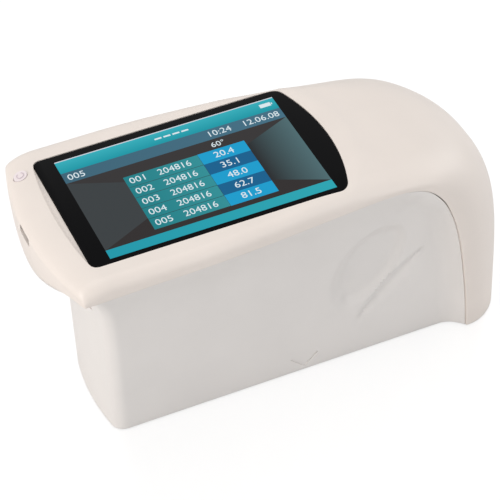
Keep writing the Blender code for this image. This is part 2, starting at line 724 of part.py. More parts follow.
boolean(top_cover, drums_tool("nose_boss_holes", NOSE_BOSSES, SHAFT_HOLE, 0.001,
                              NOSE_BOSS_TOP - 2 * BOSS_ROOF))
boolean(top_cover, cutter("window_recess", prism("window_recess", glass_outline(GAP), LEDGE_TOP,
                                                 DECK_Z + 0.004)))
boolean(top_cover, box_tool("display_opening", (PANEL_X[0] - GAP, -PANEL_HALF - GAP, DECK_UNDER - 0.0003),
                            (PANEL_X[1] + GAP, PANEL_HALF + GAP, DECK_Z + 0.003)))
step_reach = GLASS_HALF_WIDTH - GLASS_CORNER
step_side = [(GLASS_LEFT - STEP_WIDTH * (1 - (y / step_reach)**2), y)
             for y in [step_reach * (1 - k / 7) for k in range(15)]]
boolean(top_cover, cutter("window_step", prism("window_step",
                                               [(GLASS_LEFT + 0.001, -step_reach),
                                                (GLASS_LEFT + 0.001, step_reach)] + step_side,
                                               DECK_Z - STEP_DEPTH, DECK_Z + 0.004)))
catch_low = IO_BOARD_TOP + CATCH_LIFT
boolean(top_cover, round_tool("button_hole", (BUTTON_X, BUTTON_Y), BUTTON_RADIUS + GAP, catch_low - GAP,
                              DECK_Z + 0.004, 24))
usb_low = IO_BOARD_TOP + GAP
usb_middle = usb_low + USB_SIZE[2] / 2
usb_cut = box_tool("usb_slot", (X_END - 0.002, USB_Y - USB_SIZE[1] / 2 - GAP, usb_low - GAP),
                   (IO_POST_X - 0.0045, USB_Y + USB_SIZE[1] / 2 + GAP, usb_low + USB_SIZE[2] + GAP))
soften(usb_cut, 0.0009, 3)
boolean(top_cover, usb_cut)

# Lower housing: narrow base that flares out under the head
lower_housing = add_object("lower_housing", shell("lower_housing", housing_rows(False), housing_rows(True)),
                           SOFT_GREY_WHITE)
BASE_BOSSES = [(x, side * (BASE_HALF_WIDTH - BASE_BOSS_INSET)) for x in BASE_BOSS_X for side in (-1, 1)]
boolean(lower_housing, drums_tool("base_bosses", BASE_BOSSES, SCREW_BOSS, PLATE_THICK + GAP, BASE_BOSS_TOP),
        "UNION")
boolean(lower_housing, drums_tool("base_boss_holes", BASE_BOSSES, SHAFT_HOLE, 0.001,
                                  BASE_BOSS_TOP - BOSS_ROOF))


def oval_tool(name, centre, axes, angle, depth, side, bulge, proud=False):
    """A flattened ball for a shallow oval dish in the side wall, or one that stands out of it."""
    bm = bmesh.new()
    made = bmesh.ops.create_uvsphere(bm, u_segments=24, v_segments=14, radius=1.0)["verts"]
    wall_y = base_half(centre[1])
    shape = Matrix.Diagonal((axes[0], bulge, axes[1], 1.0))
    turn = Matrix.Rotation(-angle, 4, "Y")
    reach = 1 / math.sqrt(1 - (1 - depth / bulge)**2)
    wide = Matrix.Diagonal((reach, 1.0, reach, 1.0))
    middle = depth - bulge if proud else bulge - depth
    place = Matrix.Translation((centre[0], side * (wall_y + middle), centre[1]))
    bmesh.ops.transform(bm, verts=made, matrix=place @ turn @ wide @ shape)
    for vert in made:
        x, z = vert.co.x, vert.co.z
        lean = base_half(z) - wall_y
        vert.co.y += side * (lean + side_flare(x, z) * (half_width(x, z) - base_half(z)))
    return cutter(name, mesh_from(bm, name))


for side, where in ((-1, "near"), (1, "far")):
    boolean(lower_housing, oval_tool("grip_dish_" + where, GRIP_CENTRE, GRIP_AXES, GRIP_ANGLE, GRIP_DEPTH,
                                     side, 0.006))
    boolean(lower_housing, oval_tool("grip_leaf_" + where, LEAF_CENTRE, LEAF_AXES, LEAF_ANGLE, LEAF_PROUD,
                                     side, LEAF_BULGE, proud=True), "UNION")
    wide, tall = MARK_SIZE
    bm = bmesh.new()
    ring = [(-wide, tall), (0.0, 0.0), (wide, tall), (wide, tall + 1.6 * MARK_LINE), (0.0, 1.6 * MARK_LINE),
            (-wide, tall + 1.6 * MARK_LINE)]
    wall_y = base_half(MARK_Z + tall / 2)
    deep = side * (wall_y - MARK_DEPTH)
    face = bm.faces.new([bm.verts.new((APERTURE_X + x, deep, MARK_Z + z)) for x, z in ring])
    lifted = bmesh.ops.extrude_face_region(bm, geom=[face])["geom"]
    bmesh.ops.translate(bm, verts=[v for v in lifted if isinstance(v, bmesh.types.BMVert)],
                        vec=(0, side * 0.002, 0))
    boolean(lower_housing, cutter("mark_" + where, mesh_from(bm, "mark_" + where)))

# Base plate: closes the foot and carries the optics
plate_side = BASE_HALF_WIDTH - WALL - GAP
plate_left = BASE_END_X + WALL + GAP
plate_ring = []
for k in range(7):
    y = (plate_side - 0.0016) * (1 - k / 6)
    plate_ring.append((plate_left + BASE_END_RADIUS - math.sqrt(BASE_END_RADIUS**2 - y * y), y))
plate_ring.insert(0, (plate_ring[0][0] + 0.0016, plate_side))
right_ring = [(0.700 * X_TIP, plate_side), (foot_x, plate_side + PLATE_SPREAD)]
for k in range(9):
    y = (plate_side + PLATE_SPREAD) * (1 - k / 8)
    right_ring.append((foot_edge(y), y))
half_ring = list(reversed(plate_ring)) + right_ring
plate_outline = half_ring + [(x, -y) for x, y in reversed(half_ring[1:-1])]
base_plate = add_object("base_plate", prism("base_plate", plate_outline, 0.0, PLATE_THICK), WARM_WHITE)
aperture = box_tool("aperture_cut", (APERTURE_X - APERTURE_SIZE[0] / 2, -APERTURE_SIZE[1] / 2, -0.001),
                    (APERTURE_X + APERTURE_SIZE[0] / 2, APERTURE_SIZE[1] / 2, PLATE_THICK + 0.001))
boolean(base_plate, aperture)
BLOCK_SCREWS = [(APERTURE_X - 0.012, -0.0073), (APERTURE_X + 0.012, 0.0073)]
PLATE_SCREWS = BASE_BOSSES + NOSE_BOSSES + BLOCK_SCREWS
head_top = SCREW_HEAD[1] + GAP
boolean(base_plate, drums_tool("plate_holes", PLATE_SCREWS, SHAFT_HOLE, -0.001, PLATE_THICK + 0.001))
boolean(base_plate, drums_tool("plate_sinks", PLATE_SCREWS, SCREW_HEAD[0] + GAP, -0.001, head_top + GAP))


def screw(name, at, head_bottom, length=SCREW_LENGTH):
    """Pan-head screw that points up, with a cross-shaped drive."""
    bm = bmesh.new()
    drum(bm, at, SCREW_HEAD[0], head_bottom, head_bottom + SCREW_HEAD[1], 12)
    thing = add_object(name, mesh_from(bm, name), STEEL)
    boolean(thing, round_tool(name + "_shaft", at, SCREW_SHAFT, head_bottom + SCREW_HEAD[1] / 2,
                              head_bottom + SCREW_HEAD[1] + length, 8), "UNION")
    boolean(thing, box_tool(name + "_drive", (at[0] - 0.0012, at[1] - 0.0003, head_bottom - 0.001),
                            (at[0] + 0.0012, at[1] + 0.0003, head_bottom + SCREW_HEAD[1] / 2)))
    return thing


for k, at in enumerate(BASE_BOSSES):
    screw(f"base_screw_{k + 1}", at, GAP)
for k, at in enumerate(NOSE_BOSSES):
    screw(f"nose_screw_{k + 1}", at, GAP)
for k, at in enumerate(BLOCK_SCREWS):
    screw(f"block_screw_{k + 1}", at, GAP)

# Display
screen_window = add_object("screen_window", prism("screen_window", glass_outline(0.0), GLASS_BOTTOM,
                                                  GLASS_TOP), BLACK_GLASS)
window_gasket = add_object("window_gasket", prism("window_gasket", glass_outline(-GAP),
                                                  GASKET_TOP - GASKET_THICK, GASKET_TOP), BLACK_RUBBER)
boolean(window_gasket, box_tool("gasket_hole", (PANEL_X[0] - GAP, -PANEL_HALF - GAP, BACKLIGHT_TOP),
                                (PANEL_X[1] + GAP, PANEL_HALF + GAP, GLASS_TOP)))
plate("lcd_panel", (PANEL_X[0], -PANEL_HALF, PANEL_TOP - PANEL_THICK), (PANEL_X[1], PANEL_HALF, PANEL_TOP),
      LCD_DARK)
back_half = PANEL_HALF - BACKLIGHT_INSET
plate("lcd_backlight", (PANEL_X[0] + GAP, -back_half, BACKLIGHT_TOP - BACKLIGHT_THICK),
      (PANEL_X[1] - GAP, back_half, BACKLIGHT_TOP), STEEL)
bracket = plate("display_bracket", (BRACKET_X[0], -BRACKET_HALF_WIDTH, BRACKET_BOTTOM),
                (BRACKET_X[1], BRACKET_HALF_WIDTH, BRACKET_TOP), STEEL)
for k, x in enumerate(POST_AT):
    boolean(bracket, box_tool(f"bracket_ears_{k + 1}",
                              (x - BRACKET_EAR[0] / 2, -BRACKET_EAR[1], BRACKET_BOTTOM),
                              (x + BRACKET_EAR[0] / 2, BRACKET_EAR[1], BRACKET_TOP)), "UNION")
boolean(bracket, drums_tool("bracket_holes", POSTS, SHAFT_HOLE, BRACKET_BOTTOM - 0.001, BRACKET_TOP + 0.001))
for k, at in enumerate(POSTS):
    screw(f"bracket_screw_{k + 1}", at, BRACKET_BOTTOM - GAP - SCREW_HEAD[1], 0.0038)

# Main board, hung from the bracket on standoffs
BOARD_TOP = BRACKET_BOTTOM - BOARD_DROP
BOARD_UNDER = BOARD_TOP - BOARD_THICK
STANDOFFS = [(x, side * STANDOFF_Y) for x in STANDOFF_AT for side in (-1, 1)]
main_board = plate("main_board", (BOARD_X[0], -BOARD_HALF_WIDTH, BOARD_UNDER),
                   (BOARD_X[1], BOARD_HALF_WIDTH, BOARD_TOP), BOARD_GREEN)
boolean(main_board, drums_tool("board_holes", STANDOFFS, SHAFT_HOLE, BOARD_UNDER - 0.001, BOARD_TOP + 0.001))
for k, at in enumerate(STANDOFFS):
    bm = bmesh.new()
    drum(bm, at, STANDOFF_RADIUS, BOARD_TOP + GAP, BRACKET_BOTTOM - GAP, 6)
    post = add_object(f"board_standoff_{k + 1}", mesh_from(bm, "standoff"), BRASS)
    boolean(post, round_tool(f"standoff_hole_{k + 1}", at, SHAFT_HOLE, BOARD_TOP, BRACKET_BOTTOM - 0.0012,
                             12))
    screw(f"board_screw_{k + 1}", at, BOARD_UNDER - GAP - SCREW_HEAD[1], 0.0040)
chip_low = BOARD_TOP + GAP
for name, at, size in CHIPS:
    plate(name, (at[0] - size[0] / 2, at[1] - size[1] / 2, chip_low),
          (at[0] + size[0] / 2, at[1] + size[1] / 2, chip_low + size[2]), CHIP_BLACK, 0.0002)
bm = bmesh.new()
buzzer_low = BOARD_UNDER - GAP - BUZZER_HEIGHT
drum(bm, BUZZER_AT, BUZZER_RADIUS, buzzer_low, BOARD_UNDER - GAP, 20)
buzzer = add_object("buzzer", mesh_from(bm, "buzzer"), CHIP_BLACK)
boolean(buzzer, round_tool("buzzer_port", BUZZER_AT, 0.0008, buzzer_low - 0.001, buzzer_low + 0.001, 10))


def strap(name, path, width, thick, recipe):
    """A flat cable bent along a path in the XZ plane."""
    bm = bmesh.new()
    half = thick / 2
    rims = []
    for k, (x, z) in enumerate(path):
        a, b = path[max(k - 1, 0)], path[min(k + 1, len(path) - 1)]
        size = math.dist(a, b)
        nx, nz = -(b[1] - a[1]) / size * half, (b[0] - a[0]) / size * half
        rims.append([bm.verts.new((x + nx * s, y, z + nz * s)) for s, y in
                     ((-1, -width / 2), (1, -width / 2), (1, width / 2), (-1, width / 2))])
    for a, b in zip(rims, rims[1:]):
        for k in range(4):
            bm.faces.new((a[k], b[k], b[(k + 1) % 4], a[(k + 1) % 4]))
    bm.faces.new(rims[0])
    bm.faces.new(rims[-1])
    return add_object(name, mesh_from(bm, name), recipe)


flex_start = (PANEL_X[1], BACKLIGHT_TOP - BACKLIGHT_THICK / 2)
flex_end = (BOARD_X[1] - 0.004, BOARD_TOP + GAP + FLEX_THICK / 2)
flex_path = smooth_line([flex_start, (flex_start[0] + FLEX_BULGE * 0.7, flex_start[1] - 0.0006),
                         (flex_start[0] + FLEX_BULGE, (flex_start[1] + flex_end[1]) / 2),
                         (flex_start[0] + FLEX_BULGE * 0.7, flex_end[1] + 0.0006),
                         (flex_end[0] + 0.0015, flex_end[1]), flex_end], 4)
strap("display_cable", flex_path, FLEX_WIDTH, FLEX_THICK, POLYIMIDE)

# Connector board at the end, under the button
inner_end = X_END + WALL + GAP
io_ring = [(IO_BOARD_RIGHT, IO_BOARD_Y[0]), (IO_BOARD_RIGHT, IO_BOARD_Y[1])]
for k in range(11):
    y = IO_BOARD_Y[1] + (IO_BOARD_Y[0] - IO_BOARD_Y[1]) * k / 10
    io_ring.append((inner_end + end_arc(y) + IO_BOARD_BOW * (y / HALF_WIDTH)**2, y))
io_under = IO_BOARD_TOP - BOARD_THICK
io_board = add_object("io_board", prism("io_board", io_ring, io_under, IO_BOARD_TOP), BOARD_GREEN)
boolean(io_board, drums_tool("io_holes", IO_POSTS, SHAFT_HOLE, io_under - 0.001, IO_BOARD_TOP + 0.001))
for k, at in enumerate(IO_POSTS):
    screw(f"io_screw_{k + 1}", at, io_under - GAP - SCREW_HEAD[1], 0.0040)
usb_socket = plate("usb_socket", (USB_MOUTH_X, USB_Y - USB_SIZE[1] / 2, usb_low),
                   (USB_MOUTH_X + USB_SIZE[0], USB_Y + USB_SIZE[1] / 2, usb_low + USB_SIZE[2]), STEEL, 0.0008)
mouth_half = USB_SIZE[1] / 2 - USB_SHEET
usb_mouth = box_tool("usb_mouth", (USB_MOUTH_X - 0.001, USB_Y - mouth_half, usb_low + USB_SHEET),
                     (USB_MOUTH_X + USB_SIZE[0] - 0.001, USB_Y + mouth_half,
                      usb_low + USB_SIZE[2] - USB_SHEET))
boolean(usb_socket, usb_mouth)

# Power button over its switch
switch_x = BUTTON_X + SWITCH_OFFSET
switch = plate("switch_body", (switch_x - SWITCH_SIZE[0] / 2, BUTTON_Y - SWITCH_SIZE[1] / 2, usb_low),
               (switch_x + SWITCH_SIZE[0] / 2, BUTTON_Y + SWITCH_SIZE[1] / 2, usb_low + SWITCH_SIZE[2]),
               CHIP_BLACK)
well_floor = usb_low + SWITCH_SIZE[2] - SWITCH_WELL
boolean(switch, round_tool("switch_well", (switch_x, BUTTON_Y), PLUNGER_RADIUS + GAP, well_floor,
                           usb_low + SWITCH_SIZE[2] + 0.001, 12))
bm = bmesh.new()
drum(bm, (switch_x, BUTTON_Y), PLUNGER_RADIUS, well_floor + BUTTON_TRAVEL + 0.0001, catch_low - GAP, 12)
plunger = add_object("switch_plunger", mesh_from(bm, "switch_plunger"), CREAM_NYLON)
press_axis = (BUTTON_X, BUTTON_Y, catch_low)
set_origin(plunger, press_axis)


def shoulder_height(x, y):
    """Height of the cover's outside near the connector end."""
    reach, drop = END_SHOULDER
    share = min(max((X_END + end_arc(y) + reach - x) / reach, 0.0), 1.0)
    return DECK_Z - drop * (1 - math.sqrt(1 - share * share))


button_top = shoulder_height(BUTTON_X, BUTTON_Y) + BUTTON_PROUD
bm = bmesh.new()
drum(bm, (BUTTON_X, BUTTON_Y), BUTTON_RADIUS, IO_BOARD_TOP + BUTTON_FOOT, button_top + 0.003, 24)
slope = (shoulder_height(BUTTON_X + 0.001, BUTTON_Y) - shoulder_height(BUTTON_X - 0.001, BUTTON_Y)) / 0.002
cut = bmesh.ops.bisect_plane(bm, geom=bm.verts[:] + bm.edges[:] + bm.faces[:],
                             plane_co=(BUTTON_X, BUTTON_Y, button_top), plane_no=(-slope, 0, 1),
                             clear_outer=True)
rim_edges = [e for e in cut["geom_cut"] if isinstance(e, bmesh.types.BMEdge)]
bmesh.ops.contextual_create(bm, geom=rim_edges)
button = add_object("power_button", mesh_from(bm, "power_button"), BUTTON_WHITE)
set_origin(button, press_axis)
catch_x = BUTTON_X + 0.0004
boolean(button, box_tool("button_catch", (catch_x, BUTTON_Y - CATCH_SIZE[1] / 2, catch_low),
                         (catch_x + CATCH_SIZE[0], BUTTON_Y + CATCH_SIZE[1] / 2, catch_low + CATCH_SIZE[2])),
        "UNION")
boolean(button, round_tool("button_stem", (BUTTON_X + STEM_OFFSET, BUTTON_Y), BUTTON_STEM,
                           catch_low + CATCH_SIZE[2] / 2, IO_BOARD_TOP + BUTTON_FOOT + 0.0007, 12), "UNION")

# Battery in its tray, on the optical block
tray_half = base_half(TRAY_Z) - WALL - GAP
tray_inside = tray_half - TRAY_WALL
tray_reach = BATTERY_SIZE[0] / 2 + GAP + TRAY_WALL
tray_x = (BATTERY_X - tray_reach, BATTERY_X + tray_reach)
tray = plate("battery_tray", (tray_x[0], -tray_half, TRAY_Z),
             (tray_x[1], tray_half, TRAY_Z + TRAY_FLOOR + TRAY_RIM), BLACK_ABS)
boolean(tray, box_tool("tray_well", (tray_x[0] + TRAY_WALL, -tray_inside, TRAY_Z + TRAY_FLOOR),
                       (tray_x[1] - TRAY_WALL, tray_inside, TRAY_Z + 0.01)))
TRAY_LEGS = [(x, side * TRAY_LEG_Y) for x in TRAY_LEG_AT for side in (-1, 1)]
boolean(tray, drums_tool("tray_legs", TRAY_LEGS, TRAY_LEG, BLOCK_TOP + GAP, TRAY_Z + TRAY_FLOOR / 2), "UNION")
battery_low = TRAY_Z + TRAY_FLOOR + GAP
battery_half = tray_inside - GAP
plate("battery_pack", (BATTERY_X - BATTERY_SIZE[0] / 2, -battery_half, battery_low),
      (BATTERY_X + BATTERY_SIZE[0] / 2, battery_half, battery_low + BATTERY_SIZE[1]), BATTERY_BLUE, 0.0012)
plug_top = BOARD_UNDER - GAP
plug_low = plug_top - PLUG_SIZE[2]
plate("battery_connector", (PLUG_AT[0] - PLUG_SIZE[0] / 2, PLUG_AT[1] - PLUG_SIZE[1] / 2, plug_low),
      (PLUG_AT[0] + PLUG_SIZE[0] / 2, PLUG_AT[1] + PLUG_SIZE[1] / 2, plug_top), CREAM_NYLON)


def lead(name, points, radius, recipe):
    """A round lead along a smooth route."""
    route = spread(smooth_line(points, 6), 12)
    curve = bpy.data.curves.new(name, "CURVE")
    curve.dimensions = "3D"
    curve.bevel_depth = radius
    curve.bevel_resolution = 2
    curve.use_fill_caps = True
    spline = curve.splines.new("POLY")
    spline.points.add(len(route) - 1)
    for point, at in zip(spline.points, route):
        point.co = (*at, 1.0)
    thing = bpy.data.objects.new(name, curve)
    meter.objects.link(thing)
    curve.materials.append(plastic(name + "_" + recipe[0], *recipe[1:]))
    return thing


battery_end = BATTERY_X + BATTERY_SIZE[0] / 2
lead("battery_cable", [(battery_end + GAP, PLUG_AT[1], battery_low + 0.0075),
                       (battery_end + 0.004, PLUG_AT[1], battery_low + 0.0082),
                       (battery_end + 0.0065, PLUG_AT[1], battery_low + 0.0105),
                       (*PLUG_AT, plug_low - GAP)], LEAD_RADIUS, BLACK_RUBBER)

# Optical block and what sits in its two arms
arm_out = {-1: Vector((-math.sin(ARM_ANGLE), 0, math.cos(ARM_ANGLE))),
           1: Vector((math.sin(ARM_ANGLE), 0, math.cos(ARM_ANGLE)))}
focus = Vector((APERTURE_X, 0, 0))
block_low = PLATE_THICK + GAP
arm_half = ARM_BORE + BLOCK_WALL


def along(side, distance, up=0.0):
    """A point on an arm's axis, moved square to it in the XZ plane."""
    out = arm_out[side]
    square = Vector((-out.z * side, 0, abs(out.x)))
    return focus + out * distance + square * up


half_block = []
end_low = along(1, ARM_LENGTH, -arm_half)
end_high = along(1, ARM_LENGTH, arm_half)
foot_run = (end_low.z - block_low) / math.cos(ARM_ANGLE)
half_block.append((end_low.x - foot_run * math.sin(ARM_ANGLE), block_low))
half_block.append((end_low.x, end_low.z))
top_run = (BLOCK_TOP - end_high.z) / math.sin(ARM_ANGLE)
half_block.append((end_high.x - top_run * math.cos(ARM_ANGLE), BLOCK_TOP))
block_ring = half_block + [(2 * APERTURE_X - x, z) for x, z in reversed(half_block)]
bm = bmesh.new()
face = bm.faces.new([bm.verts.new((x, -BLOCK_HALF_WIDTH, z)) for x, z in block_ring])
lifted = bmesh.ops.extrude_face_region(bm, geom=[face])["geom"]
bmesh.ops.translate(bm, verts=[v for v in lifted if isinstance(v, bmesh.types.BMVert)],
                    vec=(0, 2 * BLOCK_HALF_WIDTH, 0))
optical_block = add_object("optical_block", mesh_from(bm, "optical_block"), BLACK_ANODISED)


def arm_matrix(side, distance):
    return Matrix.Translation(focus + arm_out[side] * distance) @ Matrix.Rotation(side * ARM_ANGLE, 4, "Y")


def arm_drum(bm, side, start, end, radius, sides=24):
    made = bmesh.ops.create_cone(bm, cap_ends=True, segments=sides, radius1=radius, radius2=radius,
                                 depth=end - start)["verts"]
    bmesh.ops.transform(bm, verts=made, matrix=arm_matrix(side, (start + end) / 2))
    return made


for side, where in ((-1, "lamp"), (1, "receiver")):
    bm = bmesh.new()
    arm_drum(bm, side, 0.004 if side < 0 else 0.0045, ARM_LENGTH + 0.002, ARM_BORE)
    boolean(optical_block, cutter(where + "_bore", mesh_from(bm, where + "_bore")))
boolean(optical_block, box_tool("chamber", (APERTURE_X - APERTURE_SIZE[0] / 2, -APERTURE_SIZE[1] / 2,
                                            block_low - 0.001),
                                (APERTURE_X + APERTURE_SIZE[0] / 2, APERTURE_SIZE[1] / 2, CHAMBER_TOP)))
boolean(optical_block, drums_tool("block_holes", BLOCK_SCREWS, SHAFT_HOLE, block_low - 0.001, 0.0100))

seat = ARM_BORE - GAP


def arm_lens(name, side, distance):
    """Lens with one flat and one domed face, turned round the arm's axis."""
    bm = bmesh.new()
    edge = LENS_THICK * 0.45
    arm_drum(bm, side, distance - LENS_THICK / 2, distance - LENS_THICK / 2 + edge, seat)
    out = arm_out[side]
    low = focus + out * (distance - LENS_THICK / 2 + edge)
    for radius, rise in ((seat * 0.8, 0.4), (seat * 0.5, 0.75), (seat * 0.2, 0.97)):
        cap = [f for f in bm.faces if len(f.verts) == 24 and f.normal.dot(out) > 0.9]
        bmesh.ops.inset_region(bm, faces=cap, thickness=0.0001)
        centre = low + out * (LENS_THICK - edge) * rise
        for vert in cap[0].verts:
            offset = vert.co - low
            offset -= out * offset.dot(out)
            vert.co = centre + offset.normalized() * radius
    return add_object(name, mesh_from(bm, name), OPTIC_GLASS)


arm_lens("collimator_lens", -1, LENS_AT)
arm_lens("receiver_lens", 1, LENS_AT)
for side, name in ((-1, "lamp_slit"), (1, "receiver_slit")):
    bm = bmesh.new()
    arm_drum(bm, side, SLIT_AT, SLIT_AT + 0.0008, seat)
    slit = add_object(name, mesh_from(bm, name), BLACK_ANODISED)
    bm = bmesh.new()
    made = block(bm, (-0.0004, -0.0016, -0.002), (0.0004, 0.0016, 0.002))
    bmesh.ops.transform(bm, verts=made, matrix=arm_matrix(side, SLIT_AT))
    boolean(slit, cutter(name + "_cut", mesh_from(bm, name + "_cut")))
for side, name in ((-1, "lamp_board"), (1, "sensor_board")):
    bm = bmesh.new()
    made = block(bm, (-OPTIC_BOARD[0] / 2, -OPTIC_BOARD[1] / 2, 0), (OPTIC_BOARD[0] / 2, OPTIC_BOARD[1] / 2,
                                                                     OPTIC_BOARD[2]))
    bmesh.ops.transform(bm, verts=made, matrix=arm_matrix(side, ARM_LENGTH + GAP))
    add_object(name, mesh_from(bm, name), BOARD_GREEN)
bm = bmesh.new()
arm_drum(bm, -1, ARM_LENGTH - 0.0046, ARM_LENGTH, 0.0025, 20)
lamp_led = add_object("lamp_led", mesh_from(bm, "lamp_led"), OPTIC_GLASS)
soften(lamp_led, 0.0009, 3)
bm = bmesh.new()
arm_drum(bm, 1, ARM_LENGTH - 0.0022, ARM_LENGTH, 0.0038, 20)
photodiode = add_object("photodiode", mesh_from(bm, "photodiode"), CHIP_BLACK)
soften(photodiode, 0.0003, 1)
sensor_top = along(1, ARM_LENGTH + GAP + OPTIC_BOARD[2] / 2, OPTIC_BOARD[0] / 2)
lead("optics_cable", [(sensor_top.x - 0.0002, 0, sensor_top.z + GAP + 0.0010),
                      (sensor_top.x - 0.001, 0, sensor_top.z + 0.009),
                      (sensor_top.x - 0.012, 0, plug_top - 0.011),
                      (PLUG_AT[0] + 0.012, 0, plug_top - 0.004),
                      (PLUG_AT[0] + 0.0055, 0, plug_top - LEAD_RADIUS)], LEAD_RADIUS, BLACK_RUBBER)

# Smooth shading on the moulded and turned pieces
for thing in meter.objects:
    if thing.type == "MESH":
        thing.data.shade_smooth()
        thing.data.set_sharp_from_angle(angle=math.radians(35))
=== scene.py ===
import math

import bmesh
import bpy
from mathutils import Matrix, Vector


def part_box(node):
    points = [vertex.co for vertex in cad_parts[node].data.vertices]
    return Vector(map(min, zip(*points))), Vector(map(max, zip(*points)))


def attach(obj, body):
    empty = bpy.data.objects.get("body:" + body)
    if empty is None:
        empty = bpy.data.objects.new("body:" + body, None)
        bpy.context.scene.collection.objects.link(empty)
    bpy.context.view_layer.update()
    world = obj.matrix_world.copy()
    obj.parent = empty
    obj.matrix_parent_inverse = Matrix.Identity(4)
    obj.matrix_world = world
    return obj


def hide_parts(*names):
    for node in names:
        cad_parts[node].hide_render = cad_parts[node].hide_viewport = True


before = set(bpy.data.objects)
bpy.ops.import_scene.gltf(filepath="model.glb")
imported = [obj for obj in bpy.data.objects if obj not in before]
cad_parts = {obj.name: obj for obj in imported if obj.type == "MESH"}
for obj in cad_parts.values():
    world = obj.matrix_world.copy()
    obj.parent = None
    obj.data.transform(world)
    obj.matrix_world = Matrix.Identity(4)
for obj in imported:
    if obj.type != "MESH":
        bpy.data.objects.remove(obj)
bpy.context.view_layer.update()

# The camera stands to the left of the long side and looks down on the display.
# It is turned a little about its own axis, as the photograph is.
view_target = Vector((-0.00584, 0.0, 0.04163))
view_distance = 0.7593
view_azimuth = math.radians(-21.18)
view_elevation = math.radians(41.90)
view_roll = math.radians(3.33)
back = Vector((math.sin(view_azimuth) * math.cos(view_elevation),
               -math.cos(view_azimuth) * math.cos(view_elevation), math.sin(view_elevation)))
right = Vector((math.cos(view_azimuth), math.sin(view_azimuth), 0.0))
up = back.cross(right)
camera_x = math.cos(view_roll) * right - math.sin(view_roll) * up
camera_y = math.sin(view_roll) * right + math.cos(view_roll) * up
camera_data = bpy.data.cameras.new("camera")
camera_data.lens = 166.45
camera_data.sensor_width = 36.0
camera = bpy.data.objects.new("camera", camera_data)
turn = Matrix((camera_x, camera_y, back)).transposed().to_4x4()
camera.matrix_world = Matrix.Translation(view_target + back * view_distance) @ turn
bpy.context.scene.collection.objects.link(camera)
bpy.context.scene.camera = camera

# The top cover is one moulding of warm white ABS: the head with its flat deck, and the nose that
# runs down from it to the floor. Its edges are rounded, and it ends at a fine parting line all
# round. The window, the power button and the socket are let into it.
LENGTH = 0.160
HALF_WIDTH = 0.0365
DECK_Z = 0.081
PARTING_GAP = 0.00030
SHELL_FOOT = 0.0004
END_SHOULDER = (0.010, 0.0045)
END_ARC_RADIUS = 0.120
END_CORNER = 0.0020
SIDE_SHOULDER = (0.0046, 0.0042)
DECK_EDGE_X = 0.0296
DECK_EDGE_RADIUS = 0.045
CROWN_START_X = 0.0192
CROWN_POWER = 3.6
NOSE_WALL_TOP = 0.0112
NOSE_SHOULDER = (0.0270, 0.0191)
SHOULDER_BLEND = (0.34, 0.08)
EDGE_GROWTH = 0.10
EDGE_RUN = 0.024
CREASE_DROP = 0.0019
CREASE_LENGTH = 0.010
FOOT_SHOULDER = 0.97
PART_END_Z = 0.0744
CHIN = 0.0090
PART_LINE = ((-0.0700, 0.0744), (-0.040, 0.0751), (-0.010, 0.0746), (0.015, 0.0742), (0.029, 0.0741),
             (0.037, 0.0735), (0.0422, 0.0720), (0.0463, 0.0694), (0.0503, 0.0642), (0.0535, 0.0568),
             (0.0557, 0.0493), (0.0577, 0.0393), (0.0597, 0.0249), (0.0610, 0.0128), (0.0619, 0.0))
TAPER = (-0.0446, 0.0461, 0.0063)
NOSE_DRAFT = 0.0054
NOSE_DRAFT_TOP = 0.062
NOSE_DRAFT_POWER = 1.1
SKIN = 0.0014                    # wall of the cover
RIM_EDGE = 0.00006               # tiny bevel on the walls' sharp edges
CHIN_REACH = 0.93 * HALF_WIDTH   # the end's parting line is level from here to the sides
END_ARC_FADE = (-0.072, -0.035)  # the end's arc dies out between these two places
EDGE_ARC_FADE = (-0.022, 0.0316, 0.060)  # and the deck edge's arc grows, then dies out
SLANT_BLEND = 0.30               # share of the nose over which its rows become slanted
LEAST_DROP = 0.0005              # keeps the first row spaced like the next one
SHOULDER_LIMIT = (0.85, 0.12)    # share of a row's depth that its shoulder may take
LEG_SHARES = 2000
X_END, X_TIP = -LENGTH / 2, LENGTH / 2


def ease(start, end, value):
    t = min(max((value - start) / (end - start), 0.0), 1.0)
    return t * t * (3 - 2 * t)


def through(points, value):
    """Height of a smooth line through points."""
    k = 0
    while k < len(points) - 2 and value > points[k + 1][0]:
        k += 1
    before, after = points[max(k - 1, 0)], points[min(k + 2, len(points) - 1)]
    p, q = points[k], points[k + 1]
    run = q[0] - p[0]
    t = min(max((value - p[0]) / run, 0.0), 1.0)
    slope_p = (q[1] - before[1]) / (q[0] - before[0]) * run
    slope_q = (after[1] - p[1]) / (after[0] - p[0]) * run
    return ((2 * t**3 - 3 * t**2 + 1) * p[1] + (t**3 - 2 * t**2 + t) * slope_p
            + (3 * t**2 - 2 * t**3) * q[1] + (t**3 - t**2) * slope_q)


def smooth_line(points, per_span):
    """A rounded line through points, as evenly spread points."""
    first = tuple(2 * a - b for a, b in zip(points[0], points[1]))
    last = tuple(2 * a - b for a, b in zip(points[-1], points[-2]))
    run = [first, *points, last]
    line = []
    for k in range(1, len(run) - 2):
        for step in range(per_span):
            t = step / per_span
            line.append(tuple(0.5 * (2 * b + (c - a) * t + (2 * a - 5 * b + 4 * c - d) * t * t
                                     + (3 * b - a - 3 * c + d) * t**3)
                              for a, b, c, d in zip(*run[k - 1:k + 3])))
    line.append(points[-1])
    return line


def spread(line, count):
    """Share a polyline into equal lengths."""
    reach = [0.0]
    for a, b in zip(line, line[1:]):
        reach.append(reach[-1] + math.dist(a, b))
    result = []
    k = 0
    for step in range(count + 1):
        goal = reach[-1] * step / count
        while k < len(line) - 2 and reach[k + 1] < goal:
            k += 1
        t = (goal - reach[k]) / (reach[k + 1] - reach[k])
        result.append(tuple(a + (b - a) * t for a, b in zip(line[k], line[k + 1])))
    return result


